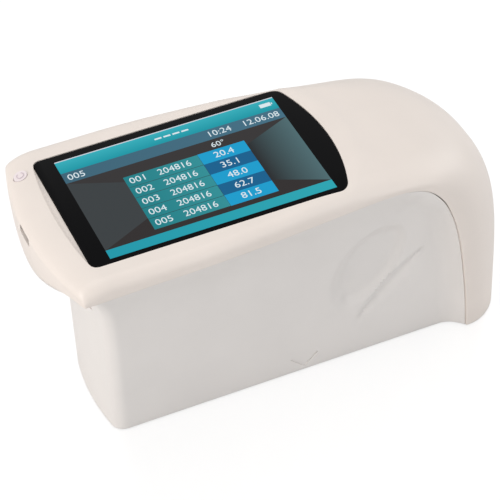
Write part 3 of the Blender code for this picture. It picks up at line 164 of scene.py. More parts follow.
def half_width(x, z):
    taper = TAPER[2] * ease(TAPER[0], TAPER[1], x)
    draft = NOSE_DRAFT * max(0.0, (NOSE_DRAFT_TOP - z) / NOSE_DRAFT_TOP) ** NOSE_DRAFT_POWER
    return HALF_WIDTH - taper - draft


def end_arc(y):
    share = min(abs(y) / HALF_WIDTH, 1.0)
    bow = END_ARC_RADIUS - math.sqrt(END_ARC_RADIUS**2 - y * y)
    return bow + END_CORNER * (1 - max(0.0, 1 - share**14) ** (1 / 14))


def crown(x):
    def oval(at):
        share = (at - CROWN_START_X) / (X_TIP - CROWN_START_X)
        return max(0.0, 1 - share**CROWN_POWER) ** (1 / CROWN_POWER)
    rest = max(0.0, (X_TIP - x) / (X_TIP - DECK_EDGE_X))
    crease = CREASE_DROP * (1 - math.exp((DECK_EDGE_X - x) / CREASE_LENGTH)) * rest**0.7
    return NOSE_WALL_TOP + (DECK_Z - NOSE_WALL_TOP) * oval(x) / oval(DECK_EDGE_X) - crease


def end_rim(y):
    """Height of the parting line round the connector end: it dips in the middle."""
    return PART_END_Z - CHIN * (1 - ease(0.0, CHIN_REACH, abs(y)))


def row_shift(x, y):
    back_step = end_arc(y) * (1 - ease(*END_ARC_FADE, x))
    bow = DECK_EDGE_RADIUS - math.sqrt(DECK_EDGE_RADIUS**2 - y * y)
    near_edge = ease(EDGE_ARC_FADE[0], DECK_EDGE_X, x) * (1 - ease(*EDGE_ARC_FADE[1:], x))
    return back_step - bow * near_edge


def middle_line():
    """The cover's middle line from the end's parting line to the nose's foot, row by row."""
    reach, drop = END_SHOULDER
    face_top = DECK_Z - drop
    line = [(X_END, PART_END_Z + (face_top - PART_END_Z) * k / 4) for k in range(4)]
    for k in range(17):
        a = math.pi / 2 * k / 16
        line.append((X_END + reach * (1 - math.cos(a)), DECK_Z - drop * (1 - math.sin(a))))
    flat_from = X_END + reach
    line += [(flat_from + (DECK_EDGE_X - flat_from) * k / 60, DECK_Z) for k in range(1, 61)]
    nose = []
    for k in range(161):
        a = math.pi / 2 * k / 160
        x = DECK_EDGE_X + (X_TIP - DECK_EDGE_X) * math.sin(a)
        nose.append((x, crown(x)))
    nose.append((X_TIP, SHELL_FOOT))
    return line + spread(nose, 84)[1:]


def section(half, across, down, depth, count):
    """Half a section: flat top, oval shoulder, straight skirt; as (y, share of the depth)."""
    line = [((half - across) * k / 30, 0.0) for k in range(30)]
    for k in range(41):
        a = math.pi / 2 * k / 40
        line.append((half - across * (1 - math.sin(a)), down * (1 - math.cos(a))))
    line += [(half, down + (depth - down) * k / 6) for k in range(1, 7)]
    turn_weight = 0.011
    reach = [0.0]
    heading = 0.0
    for a, b in zip(line, line[1:]):
        new = math.atan2(b[1] - a[1], b[0] - a[0])
        reach.append(reach[-1] + math.dist(a, b) + turn_weight * abs(new - heading))
        heading = new
    result = []
    k = 0
    for step in range(count + 1):
        goal = reach[-1] * step / count
        while k < len(line) - 2 and reach[k + 1] < goal:
            k += 1
        t = (goal - reach[k]) / max(reach[k + 1] - reach[k], 1e-9)
        y = line[k][0] + (line[k + 1][0] - line[k][0]) * t
        z = line[k][1] + (line[k + 1][1] - line[k][1]) * t
        result.append((y, z / depth if depth > 1e-9 else 0.0))
    return result


PART_CURVE = smooth_line(PART_LINE, 12)
COVER_HALF_STEPS = 60


def cover_rows():
    line = middle_line()
    edge_row = max(k for k, (x, _) in enumerate(line) if x <= DECK_EDGE_X + 1e-6)
    run = [0.0]
    for a, b in zip(line[edge_row:], line[edge_row + 1:]):
        run.append(run[-1] + math.dist(a, b))
    start_x = DECK_EDGE_X + row_shift(DECK_EDGE_X, half_width(DECK_EDGE_X, PART_END_Z))
    leg = [(start_x, through(PART_LINE, start_x))] + [p for p in PART_CURVE if p[0] > start_x + 0.001]
    leg[-1] = (leg[-1][0], SHELL_FOOT)
    leg_steps = spread(leg, LEG_SHARES)
    rows = []
    for k, (mx, mz) in enumerate(line):
        if k <= edge_row:
            rx = mx + row_shift(mx, half_width(mx, PART_END_Z))
            rz = PART_END_Z if k == 0 else through(PART_LINE, max(rx, PART_LINE[0][0]))
            blend = 0.0
        else:
            blend = run[k - edge_row] / run[-1]
            rx, rz = leg_steps[round(blend * LEG_SHARES)]
        wide = half_width(rx, rz)
        if k == len(line) - 1:
            rz = SHELL_FOOT
        drop = max(mz - rz, LEAST_DROP)
        depth = drop + (math.hypot(mx - rx, mz - rz) - drop) * ease(0.0, SLANT_BLEND, blend)
        across, down = SIDE_SHOULDER
        growth = EDGE_GROWTH * ease(DECK_EDGE_X - EDGE_RUN, DECK_EDGE_X, mx)
        across += (NOSE_SHOULDER[0] - across) * growth
        down += (NOSE_SHOULDER[1] - down) * growth
        if blend > 0.0:
            early, late = ease(0.0, SHOULDER_BLEND[0], blend), ease(SHOULDER_BLEND[1], 1.0, blend)
            across += (NOSE_SHOULDER[0] - across) * early
            down += (NOSE_SHOULDER[1] - down) * early
            across += (wide * FOOT_SHOULDER - across) * late
            down += (depth * FOOT_SHOULDER - down) * late
        down = min(down, depth * (SHOULDER_LIMIT[0] + SHOULDER_LIMIT[1] * blend))
        edge_shift = row_shift(mx, wide)
        row = []
        for y, share in section(wide, across, down, depth, COVER_HALF_STEPS):
            shift = row_shift(mx, y)
            px = mx + shift + (rx - mx - edge_shift) * share
            row.append((px, y, end_rim(y) if k == 0 else mz + (rz - mz) * share))
        rows.append([(a, -b, c) for a, b, c in reversed(row[1:])] + row)
    return rows


def skin(name, rows, wall):
    """Lay a grid over rows of points and give it a wall on the inside."""
    deep, wide = len(rows) - 1, len(rows[0]) - 1
    bm = bmesh.new()
    bmesh.ops.create_grid(bm, x_segments=deep, y_segments=wide, size=1.0)
    for vert in bm.verts:
        i, j = round((vert.co.x + 1) / 2 * deep), round((vert.co.y + 1) / 2 * wide)
        vert.co = rows[i][j]
    bmesh.ops.remove_doubles(bm, verts=bm.verts, dist=1e-6)
    bmesh.ops.recalc_face_normals(bm, faces=bm.faces)
    inside = Vector((0, 0, DECK_Z / 2))
    facing = sum(f.calc_area() * f.normal.dot(f.calc_center_median() - inside) for f in bm.faces)
    if facing < 0:
        bmesh.ops.reverse_faces(bm, faces=bm.faces)
    mesh = bpy.data.meshes.new(name)
    bm.to_mesh(mesh)
    bm.free()
    thing = bpy.data.objects.new(name, mesh)
    bpy.context.scene.collection.objects.link(thing)
    step = thing.modifiers.new("wall", "SOLIDIFY")
    step.thickness = wall
    step.offset = -1.0
    step.use_even_offset = False
    edge = thing.modifiers.new("rim", "BEVEL")
    edge.width = RIM_EDGE
    edge.segments = 2
    edge.limit_method = "ANGLE"
    edge.angle_limit = math.radians(60)
    return thing


def settle(thing, cutters=(), sharp=32):
    """Cut a piece with its cutters, apply what is on it and shade it smooth."""
    for tool in cutters:
        step = thing.modifiers.new(tool.name, "BOOLEAN")
        step.operation = "DIFFERENCE"
        step.solver = "EXACT"
        step.object = tool
    bpy.context.view_layer.update()
    shaped = bpy.data.meshes.new_from_object(thing.evaluated_get(bpy.context.evaluated_depsgraph_get()))
    thing.modifiers.clear()
    thing.data = shaped
    thing.data.name = thing.name
    for tool in cutters:
        bpy.data.objects.remove(tool, do_unlink=True)
    thing.data.shade_smooth()
    thing.data.set_sharp_from_angle(angle=math.radians(sharp))
    return thing


def outline_block(name, outline, bottom, top, round_edge=0.0):
    """A closed outline drawn up between two heights, its upper edge rounded."""
    bm = bmesh.new()
    floor_face = bm.faces.new([bm.verts.new((x, y, bottom)) for x, y in outline])
    raised = bmesh.ops.extrude_face_region(bm, geom=[floor_face])["geom"]
    lifted = [v for v in raised if isinstance(v, bmesh.types.BMVert)]
    bmesh.ops.translate(bm, verts=lifted, vec=(0, 0, top - bottom))
    if round_edge:
        rim = [e for e in bm.edges if all(v in lifted for v in e.verts)]
        bmesh.ops.bevel(bm, geom=rim, offset=round_edge, segments=3, profile=0.5, affect="EDGES",
                        material=-1)
    bmesh.ops.recalc_face_normals(bm, faces=bm.faces)
    mesh = bpy.data.meshes.new(name)
    bm.to_mesh(mesh)
    bm.free()
    thing = bpy.data.objects.new(name, mesh)
    bpy.context.scene.collection.objects.link(thing)
    return thing


def box_piece(name, low, high, round_edge=0.0, segments=3):
    """A block between two corners with rounded edges."""
    bm = bmesh.new()
    bmesh.ops.create_cube(bm, size=1.0)
    low, high = Vector(low), Vector(high)
    bmesh.ops.scale(bm, verts=bm.verts, vec=high - low)
    bmesh.ops.translate(bm, verts=bm.verts, vec=(low + high) / 2)
    if round_edge:
        bmesh.ops.bevel(bm, geom=bm.edges[:], offset=round_edge, segments=segments, profile=0.5,
                        affect="EDGES", material=-1)
    mesh = bpy.data.meshes.new(name)
    bm.to_mesh(mesh)
    bm.free()
    thing = bpy.data.objects.new(name, mesh)
    bpy.context.scene.collection.objects.link(thing)
    return thing


GLASS_LEFT = -0.0677
GLASS_HALF_WIDTH = 0.0278
GLASS_RIGHT = 0.0228
GLASS_ARC_RADIUS = 0.073
GLASS_CORNER = 0.0027
GLASS_TOP = DECK_Z - 0.0001
GLASS_BOTTOM = GLASS_TOP - 0.0014
WINDOW_GAP = 0.0002
STEP_DEPTH = 0.0007
STEP_WIDTH = 0.0026


def window_outline(grow):
    """The window's outline in plan, made larger by a clearance."""
    half = GLASS_HALF_WIDTH + grow
    left = GLASS_LEFT - grow
    radius = GLASS_ARC_RADIUS + grow
    centre = GLASS_RIGHT - GLASS_ARC_RADIUS
    corner = GLASS_CORNER + grow
    last = math.asin((half - corner) / radius)
    points = [(centre + radius * math.cos(last * k / 40), radius * math.sin(last * k / 40))
              for k in range(41)]
    tip = (centre + math.sqrt(radius**2 - half**2), half)
    for start, peak, end in ((points[-1], tip, (tip[0] - corner, half)),
                             ((left + corner, half), (left, half), (left, half - corner))):
        for k in range(13):
            t = k / 12
            points.append(tuple((1 - t)**2 * a + 2 * t * (1 - t) * b + t * t * c
                                for a, b, c in zip(start, peak, end)))
    points = [p for k, p in enumerate(points) if k == 0 or math.dist(p, points[k - 1]) > 1e-5]
    return points + [(x, -y) for x, y in reversed(points[1:])]


button_low, button_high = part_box("power_button")
BUTTON_RADIUS = 0.0022
HOLE_MARGIN = 0.00015
CUT_REACH = 0.004                # of the cutters past the deck
SLOT_MARGIN = 0.0002
button_x = button_low.x + BUTTON_RADIUS
button_y = (button_low.y + button_high.y) / 2
usb_low, usb_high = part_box("usb_socket")

top_cover = skin("top_cover_moulding", cover_rows(), SKIN)
recess = outline_block("recess_cutter", window_outline(WINDOW_GAP), DECK_Z - CUT_REACH, DECK_Z + CUT_REACH)
step_reach = GLASS_HALF_WIDTH - GLASS_CORNER * 0.4
step_side = [(GLASS_LEFT - STEP_WIDTH * (1 - (y / step_reach)**2) ** 0.8, y)
             for y in [step_reach * (1 - k / 20) for k in range(41)]]
crescent = outline_block("crescent_cutter", [(GLASS_LEFT + 0.001, -step_reach),
                                             (GLASS_LEFT + 0.001, step_reach)] + step_side,
                         DECK_Z - STEP_DEPTH, DECK_Z + CUT_REACH)
bm = bmesh.new()
bmesh.ops.create_cone(bm, cap_ends=True, segments=64, radius1=BUTTON_RADIUS + HOLE_MARGIN,
                      radius2=BUTTON_RADIUS + HOLE_MARGIN, depth=0.02)
bmesh.ops.translate(bm, verts=bm.verts, vec=(button_x, button_y, DECK_Z))
hole_mesh = bpy.data.meshes.new("button_hole")
bm.to_mesh(hole_mesh)
bm.free()
button_hole = bpy.data.objects.new("button_hole_cutter", hole_mesh)
bpy.context.scene.collection.objects.link(button_hole)
slot = box_piece("slot_cutter", (X_END - CUT_REACH, usb_low.y - SLOT_MARGIN, usb_low.z - SLOT_MARGIN),
                 (usb_high.x, usb_high.y + SLOT_MARGIN, usb_high.z + SLOT_MARGIN), 0.0009, 4)
settle(top_cover, (recess, crescent, button_hole, slot))


def moulded(name, colour, roughness, grain=2200.0, depth=0.00002, drift=0.02):
    """Moulded plastic: a fine etched grain, and a slight drift of tone across the piece."""
    material = bpy.data.materials.new(name)
    material.use_nodes = True
    nodes, links = material.node_tree.nodes, material.node_tree.links
    shader = nodes["Principled BSDF"]
    place = nodes.new("ShaderNodeTexCoord")
    tone = nodes.new("ShaderNodeTexNoise")
    tone.inputs["Scale"].default_value = 38.0
    tone.inputs["Detail"].default_value = 3.0
    ramp = nodes.new("ShaderNodeValToRGB")
    low = [c * (1 - drift) for c in colour]
    high = [min(1.0, c * (1 + drift * 0.6)) for c in colour]
    ramp.color_ramp.elements[0].position = 0.35
    ramp.color_ramp.elements[0].color = (*low, 1.0)
    ramp.color_ramp.elements[1].position = 0.65
    ramp.color_ramp.elements[1].color = (*high, 1.0)
    wear = nodes.new("ShaderNodeMapRange")
    wear.inputs["To Min"].default_value = roughness - 0.04
    wear.inputs["To Max"].default_value = roughness + 0.04
    etched = nodes.new("ShaderNodeTexNoise")
    etched.inputs["Scale"].default_value = grain
    etched.inputs["Detail"].default_value = 2.0
    bump = nodes.new("ShaderNodeBump")
    bump.inputs["Strength"].default_value = 0.35
    bump.inputs["Distance"].default_value = depth
    links.new(place.outputs["Object"], tone.inputs["Vector"])
    links.new(place.outputs["Object"], etched.inputs["Vector"])
    links.new(tone.outputs["Fac"], ramp.inputs["Fac"])
    links.new(tone.outputs["Fac"], wear.inputs["Value"])
    links.new(ramp.outputs["Color"], shader.inputs["Base Color"])
    links.new(wear.outputs["Result"], shader.inputs["Roughness"])
    links.new(etched.outputs["Fac"], bump.inputs["Height"])
    links.new(bump.outputs["Normal"], shader.inputs["Normal"])
    return material


def finish_with(thing, material):
    thing.data.materials.clear()
    thing.data.materials.append(material)


warm_white = moulded("warm_white_abs", (0.83, 0.752, 0.694), 0.36)
warm_white.node_tree.nodes["Principled BSDF"].inputs["Specular IOR Level"].default_value = 0.4
finish_with(top_cover, warm_white)
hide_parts("top_cover")
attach(top_cover, "housing")

# The lower housing is the second moulding: a narrow upright base whose walls flare out under the
# head, with a dish and a leaf-shaped groove for the fingers on each side, and a small pointer above
# the middle of the measuring opening.
BASE_HALF_WIDTH = 0.0198
BASE_DRAFT = 0.018
BASE_END_X = -0.0656
BASE_END_RADIUS = 0.090
BASE_CORNER = 0.0046
FLARE_START = 0.031
FLARE_POWER = 2.2
NOSE_FLARE = 0.0085
COVE_START = 0.0125
END_BAND = 0.0003
APERTURE_X = 0.0036
HEAD_LINE_END, NOSE_LINE_START = 0.0490, 0.0375
HEAD_LINE = [p for p in PART_CURVE if p[0] < HEAD_LINE_END]
NOSE_LINE = [p for p in PART_CURVE if p[0] > NOSE_LINE_START]
NOSE_SEAM = (0.040, 0.050)       # the seam becomes upright between these two places
END_STEPS, CORNER_STEPS, SIDE_STEPS = 28, 8, 190
CORNER_INSET = 0.0013
CORNER_POINTS = 12
FOOT_LAG_END = -0.015
END_SHARE_FADE = 0.45


def distance_to(line, x, z):
    best = 1.0
    for (ax, az), (bx, bz) in zip(line, line[1:]):
        dx, dz = bx - ax, bz - az
        t = min(max(((x - ax) * dx + (z - az) * dz) / (dx * dx + dz * dz), 0.0), 1.0)
        best = min(best, math.hypot(x - ax - t * dx, z - az - t * dz))
    return best


def side_flare(x, z):
    head = max(0.0, 1 - distance_to(HEAD_LINE, x, z) / FLARE_START) ** FLARE_POWER
    nose = max(0.0, 1 - distance_to(NOSE_LINE, x, z) / NOSE_FLARE) ** FLARE_POWER
    return 1 - (1 - head) * (1 - nose)


def end_flare(y, z):
    edge = end_rim(y) - END_BAND
    return ease(edge - COVE_START, edge, z)


def rim_columns():
    """Points of the housing's upper edge, with the foot each rises from, for one half."""
    columns = []
    arc_y = BASE_HALF_WIDTH - BASE_CORNER
    for k in range(END_STEPS + 1):
        share = k / END_STEPS
        y = (HALF_WIDTH - CORNER_INSET) * share
        foot = (BASE_END_X + BASE_END_RADIUS - math.sqrt(BASE_END_RADIUS**2 - (arc_y * share)**2),
                arc_y * share)
        columns.append((foot, (X_END + end_arc(y), y, end_rim(y)), 1 - ease(END_SHARE_FADE, 1.0, share)))
    corner_x = columns[-1][0][0] + BASE_CORNER
    turn_points = [(X_END + end_arc(y), y) for y in
                   [HALF_WIDTH - CORNER_INSET * (1 - k / CORNER_POINTS) ** 2
                    for k in range(CORNER_POINTS + 1)]]
    turn_points.append((PART_LINE[0][0], HALF_WIDTH))
    for k, (x, y) in enumerate(spread(turn_points, CORNER_STEPS)[1:]):
        a = math.pi / 2 * (k + 1) / CORNER_STEPS
        foot = (corner_x - BASE_CORNER * math.cos(a), arc_y + BASE_CORNER * math.sin(a))
        columns.append((foot, (x, y, end_rim(y)), 0.0))
    lag = corner_x - PART_LINE[0][0]
    for x, z in spread(PART_CURVE, SIDE_STEPS)[1:]:
        foot_x = x + lag * (1 - ease(PART_LINE[0][0], FOOT_LAG_END, x))
        columns.append(((foot_x, BASE_HALF_WIDTH), (x, half_width(x, z), z), 0.0))
    return columns


DISH_CENTRE = (0.0272, 0.0385)
DISH_AXES = (0.0190, 0.0112)
DISH_ANGLE = math.radians(55.0)
DISH_DEPTH = 0.0020
DISH_LIPS = (0.72, 0.60)         # where the floor ends and the lip starts: below, above
LEAF_CENTRE = (0.0352, 0.0268)
LEAF_AXES = (0.0175, 0.0036)
LEAF_ANGLE = math.radians(43.0)
LEAF_DEPTH = 0.0014
LEAF_VALLEY = 0.10               # place of its deepest line across it


def relief(x, z):
    """Depth of the finger dish and the leaf groove at a point of the side wall."""
    def local(centre, axes, angle):
        dx, dz = x - centre[0], z - centre[1]
        along = dx * math.cos(angle) + dz * math.sin(angle)
        over = -dx * math.sin(angle) + dz * math.cos(angle)
        return along / axes[0], over / axes[1]
    u, v = local(DISH_CENTRE, DISH_AXES, DISH_ANGLE)
    radius = math.hypot(u, v)
    lip = DISH_LIPS[0] if v < 0 else DISH_LIPS[1]
    dish = DISH_DEPTH * (1 - ease(lip, 1.0, radius))
    u, v = local(LEAF_CENTRE, LEAF_AXES, LEAF_ANGLE)
    blade = max(0.0, 1 - u * u)
    leaf = 0.0
    if abs(v) < blade and blade > 0:
        across = v / blade
        slopes = ease(-1.0, LEAF_VALLEY, across) * (1 - ease(LEAF_VALLEY, 1.0, across))
        leaf = LEAF_DEPTH * blade**0.5 * slopes
    return max(dish, leaf)


HOUSING_ROWS = 80
ROW_CROWDING = 1.35              # rows come closer together toward the parting line
WALL_SET_BACK = 0.0002           # of the side wall behind the cover's skirt


def housing_rows():
    columns = rim_columns()
    rows = []
    for step in range(HOUSING_ROWS + 1):
        share = 1 - (1 - step / HOUSING_ROWS) ** ROW_CROWDING
        row = []
        for k, (foot, rim, end_share) in enumerate(columns):
            rx, ry = rim[0], rim[1]
            fx, fy = foot
            rx -= PARTING_GAP * ease(*NOSE_SEAM, rx)
            fx -= PARTING_GAP * ease(*NOSE_SEAM, fx)
            top = max(rim[2] - PARTING_GAP, SHELL_FOOT)
            z = SHELL_FOOT + (top - SHELL_FOOT) * share
            on_side = k > END_STEPS + CORNER_STEPS
            if not on_side:
                side_share = max(0.0, 1 - (rim[2] - z) / FLARE_START) ** FLARE_POWER
                flare = end_share * end_flare(ry, z) + (1 - end_share) * side_share
            else:
                flare = side_flare(rx, z)
            lean = BASE_DRAFT * z
            if on_side:
                y = fy + lean
                ry = half_width(rx, z) - WALL_SET_BACK
            else:
                y = fy + lean * math.sin(math.pi / 2 * max(0, k - END_STEPS) / CORNER_STEPS)
            px, py = fx + (rx - fx) * flare, y + (ry - y) * flare
            if on_side:
                py -= relief(px, z)
            row.append((px, py, z))
        rows.append([(a, -b, c) for a, b, c in reversed(row[1:])] + row)
    return rows


HOUSING_SKIN = 0.0005
lower_housing = skin("lower_housing_moulding", housing_rows(), HOUSING_SKIN)
POINTER_HALF = 0.0050
POINTER_RISE = 0.0047
POINTER_Z = 0.0016
POINTER_LINE = 0.0010
POINTER_DEPTH = 0.0003
POINTER_REACH = 0.003
pointers = []
for side in (-1, 1):
    bm = bmesh.new()
    ring = [(-POINTER_HALF, POINTER_RISE), (0.0, 0.0), (POINTER_HALF, POINTER_RISE),
            (POINTER_HALF - POINTER_LINE * 0.4, POINTER_RISE + POINTER_LINE), (0.0, POINTER_LINE * 1.6),
            (-POINTER_HALF + POINTER_LINE * 0.4, POINTER_RISE + POINTER_LINE)]
    wall_y = BASE_HALF_WIDTH + BASE_DRAFT * (POINTER_Z + POINTER_RISE / 2)
    stroke = bm.faces.new([bm.verts.new((APERTURE_X + x, side * (wall_y - POINTER_DEPTH), POINTER_Z + z))
                           for x, z in ring])
    raised = bmesh.ops.extrude_face_region(bm, geom=[stroke])["geom"]
    bmesh.ops.translate(bm, verts=[v for v in raised if isinstance(v, bmesh.types.BMVert)],
                        vec=(0, side * POINTER_REACH, 0))
    bmesh.ops.recalc_face_normals(bm, faces=bm.faces)
    mesh = bpy.data.meshes.new("pointer")
    bm.to_mesh(mesh)
    bm.free()
    pointer = bpy.data.objects.new(f"pointer_cutter_{side}", mesh)
    bpy.context.scene.collection.objects.link(pointer)
    pointers.append(pointer)
settle(lower_housing, pointers)
soft_white = moulded("soft_white_abs", (0.80, 0.765, 0.738), 0.42)
soft_white.node_tree.nodes["Principled BSDF"].inputs["Specular IOR Level"].default_value = 0.35
finish_with(lower_housing, soft_white)
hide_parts("lower_housing")
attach(lower_housing, "housing")

# The window is one pane of glass, printed black on its underside round the lit field. Its edge is
# ground round and it sits flush in the cover's recess.
window_glass = outline_block("window_glass", window_outline(0.0), GLASS_BOTTOM, GLASS_TOP, 0.00025)
settle(window_glass)


def lit(name, colour, strength=1.0, body=(0.004, 0.004, 0.005)):
    """A part of the display's picture: it glows behind the glass and takes the glass's gloss."""
    material = bpy.data.materials.new(name)
    material.use_nodes = True
    shader = material.node_tree.nodes["Principled BSDF"]
    shader.inputs["Base Color"].default_value = (*body, 1.0)
    shader.inputs["Roughness"].default_value = 0.08
    shader.inputs["Specular IOR Level"].default_value = 0.03
    shader.inputs["Emission Color"].default_value = (*colour, 1.0)
    shader.inputs["Emission Strength"].default_value = strength
    return material


black_glass = bpy.data.materials.new("black_printed_glass")
black_glass.use_nodes = True
nodes, links = black_glass.node_tree.nodes, black_glass.node_tree.links
shader = nodes["Principled BSDF"]
shader.inputs["Base Color"].default_value = (0.0035, 0.0035, 0.004, 1.0)
shader.inputs["Specular IOR Level"].default_value = 0.03
smears = nodes.new("ShaderNodeTexNoise")
smears.inputs["Scale"].default_value = 60.0
smears.inputs["Detail"].default_value = 4.0
smear_range = nodes.new("ShaderNodeMapRange")
smear_range.inputs["To Min"].default_value = 0.04
smear_range.inputs["To Max"].default_value = 0.10
place = nodes.new("ShaderNodeTexCoord")
links.new(place.outputs["Object"], smears.inputs["Vector"])
links.new(smears.outputs["Fac"], smear_range.inputs["Value"])
links.new(smear_range.outputs["Result"], shader.inputs["Roughness"])
finish_with(window_glass, black_glass)
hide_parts("screen_window")
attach(window_glass, "housing")

# The lit field behind the glass: a title bar, a status bar, a table of five readings and a foot bar
# over a dark field that is shaded like an open envelope. Only plain numbers are shown.
PICTURE_LEFT, PICTURE_RIGHT = -0.06133, 0.01442
PICTURE_TOP, PICTURE_BOTTOM = 0.02450, -0.02590
PICTURE_Z = GLASS_TOP
LAYER = 0.00003
TITLE_FOOT = 0.0184
STATUS_FOOT = 0.0132
FOOT_BAR_TOP = -0.0218
TABLE_X = (-0.0442, -0.0188, -0.0026)
TABLE_TOP, TABLE_BOTTOM = 0.0081, -0.0195
TABLE_ROWS = 5


def panel(name, low, high, level, material):
    thing = box_piece(name, (*low, PICTURE_Z + LAYER * (level - 1) + 0.000005),
                      (*high, PICTURE_Z + LAYER * level))
    finish_with(thing, material)
    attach(thing, "housing")
    return thing


def shaded(name, first, last, along="X", span=(0.0, 1.0)):
    """A lit colour that runs from one tone to another across the picture."""
    material = lit(name, first)
    nodes, links = material.node_tree.nodes, material.node_tree.links
    shader = nodes["Principled BSDF"]
    place = nodes.new("ShaderNodeTexCoord")
    parts = nodes.new("ShaderNodeSeparateXYZ")
    share = nodes.new("ShaderNodeMapRange")
    share.inputs["From Min"].default_value, share.inputs["From Max"].default_value = span
    ramp = nodes.new("ShaderNodeValToRGB")
    ramp.color_ramp.elements[0].color = (*first, 1.0)
    ramp.color_ramp.elements[1].color = (*last, 1.0)
    links.new(place.outputs["Object"], parts.inputs["Vector"])
    links.new(parts.outputs[along], share.inputs["Value"])
    links.new(share.outputs["Result"], ramp.inputs["Fac"])
    links.new(ramp.outputs["Color"], shader.inputs["Emission Color"])
    return material


title_teal = shaded("title_teal", (0.008, 0.30, 0.37), (0.035, 0.42, 0.49), "Y",
                    (TITLE_FOOT, PICTURE_TOP))
status_blue = shaded("status_blue", (0.045, 0.125, 0.18), (0.055, 0.155, 0.225), "X",
                     (PICTURE_LEFT, PICTURE_RIGHT))
foot_teal = shaded("foot_teal", (0.012, 0.31, 0.40), (0.022, 0.37, 0.44), "X",
                   (PICTURE_LEFT, PICTURE_RIGHT))
thin_white = lit("thin_white", (0.62, 0.66, 0.72))
panel("title_bar", (PICTURE_LEFT, TITLE_FOOT), (PICTURE_RIGHT, PICTURE_TOP), 2, title_teal)
panel("title_hairline", (PICTURE_LEFT, PICTURE_TOP - 0.0003), (PICTURE_RIGHT, PICTURE_TOP + 0.0001), 3,
      thin_white)
panel("status_bar", (PICTURE_LEFT, STATUS_FOOT), (PICTURE_RIGHT, TITLE_FOOT), 2, status_blue)
panel("foot_bar", (PICTURE_LEFT, PICTURE_BOTTOM), (PICTURE_RIGHT, FOOT_BAR_TOP), 2, foot_teal)

field_middle = ((PICTURE_LEFT + PICTURE_RIGHT) / 2, (STATUS_FOOT + FOOT_BAR_TOP) / 2 + 0.0010)
field_corners = [(PICTURE_LEFT, FOOT_BAR_TOP), (PICTURE_LEFT, STATUS_FOOT),
                 (PICTURE_RIGHT, STATUS_FOOT), (PICTURE_RIGHT, FOOT_BAR_TOP)]
flap_tones = {"field_left": lit("flap_left", (0.043, 0.050, 0.053)),
              "field_upper": lit("flap_upper", (0.037, 0.034, 0.034)),
              "field_right": shaded("flap_right", (0.021, 0.024, 0.026), (0.075, 0.145, 0.160), "X",
                                    (-0.002, PICTURE_RIGHT)),
              "field_lower": lit("flap_lower", (0.030, 0.026, 0.025))}
for k, (name, tone) in enumerate(flap_tones.items()):
    a, b = field_corners[k], field_corners[(k + 1) % 4]
    flap = outline_block(name, [a, field_middle, b], PICTURE_Z + 0.000005, PICTURE_Z + LAYER)
    finish_with(flap, tone)
    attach(flap, "housing")

row_height = (TABLE_TOP - TABLE_BOTTOM) / TABLE_ROWS
cell_teal = shaded("cell_teal", (0.012, 0.205, 0.235), (0.030, 0.270, 0.300), "X", TABLE_X[:2])
cell_blues = [lit("cell_bright_blue", (0.008, 0.33, 0.60)), lit("cell_deep_blue", (0.006, 0.115, 0.265))]
for k in range(TABLE_ROWS):
    high = TABLE_TOP - k * row_height
    panel(f"name_cell_{k + 1}", (TABLE_X[0], high - row_height + 0.0001),
          (TABLE_X[1] - 0.0001, high - 0.0001), 2, cell_teal)
    panel(f"value_cell_{k + 1}", (TABLE_X[1], high - row_height), (TABLE_X[2], high), 2, cell_blues[k % 2])

lettering = lit("white_figures", (0.70, 0.80, 0.84))
NUMBER_SIZE = 0.0040
TEXT_LEVEL = 3
CELL_INDENTS = (0.0012, 0.0108)
HEADING_RISE = 0.0022
STATUS_TEXT_X = (-0.0600, -0.0080, 0.0066)
DASH_SIZE = (0.0024, 0.0007)
DASH_START, DASH_PITCH = -0.0270, 0.0031
TEXT_DROP = 0.0002
BATTERY_PARTS = (((0.0088, -0.0009), (0.0126, 0.0009)), ((0.0128, -0.0004), (0.0132, 0.0004)))
written = []


def write(text, x, y, size, align="CENTER", narrow=1.0):
    """Plain figures in the picture, made a mesh before they are put in place."""
    curve = bpy.data.curves.new("figures", "FONT")
    curve.body = text
    curve.size = size
    curve.align_x = align
    curve.align_y = "CENTER"
    curve.extrude = LAYER / 2
    curve.resolution_u = 3
    holder = bpy.data.objects.new("figures", curve)
    bpy.context.scene.collection.objects.link(holder)
    bpy.context.view_layer.update()
    mesh = bpy.data.meshes.new_from_object(holder)
    bpy.data.objects.remove(holder, do_unlink=True)
    mesh.transform(Matrix.Translation((x, y, PICTURE_Z + LAYER * (TEXT_LEVEL - 0.4)))
                   @ Matrix.Diagonal((narrow, 1.0, 1.0, 1.0)))
    written.append(mesh)


for k, reading in enumerate(("20.4", "35.1", "48.0", "62.7", "81.5")):
    line_y = TABLE_TOP - (k + 0.5) * row_height
    write(f"{k + 1:03d}", TABLE_X[0] + CELL_INDENTS[0], line_y, NUMBER_SIZE, "LEFT")
    write("204816", TABLE_X[0] + CELL_INDENTS[1], line_y, NUMBER_SIZE, "LEFT", 0.95)
    write(reading, (TABLE_X[1] + TABLE_X[2]) / 2, line_y, NUMBER_SIZE)
status_y = (TITLE_FOOT + STATUS_FOOT) / 2
write("60°", (TABLE_X[1] + TABLE_X[2]) / 2, TABLE_TOP + HEADING_RISE,
      NUMBER_SIZE * 0.86)
write("005", STATUS_TEXT_X[0], status_y - TEXT_DROP, NUMBER_SIZE, "LEFT")
write("10:24", STATUS_TEXT_X[1], status_y, NUMBER_SIZE * 0.95)
write("12.06.08", STATUS_TEXT_X[2], status_y, NUMBER_SIZE * 0.95)
bm = bmesh.new()
for mesh in written:
    bm.from_mesh(mesh)
title_y = (TITLE_FOOT + PICTURE_TOP) / 2
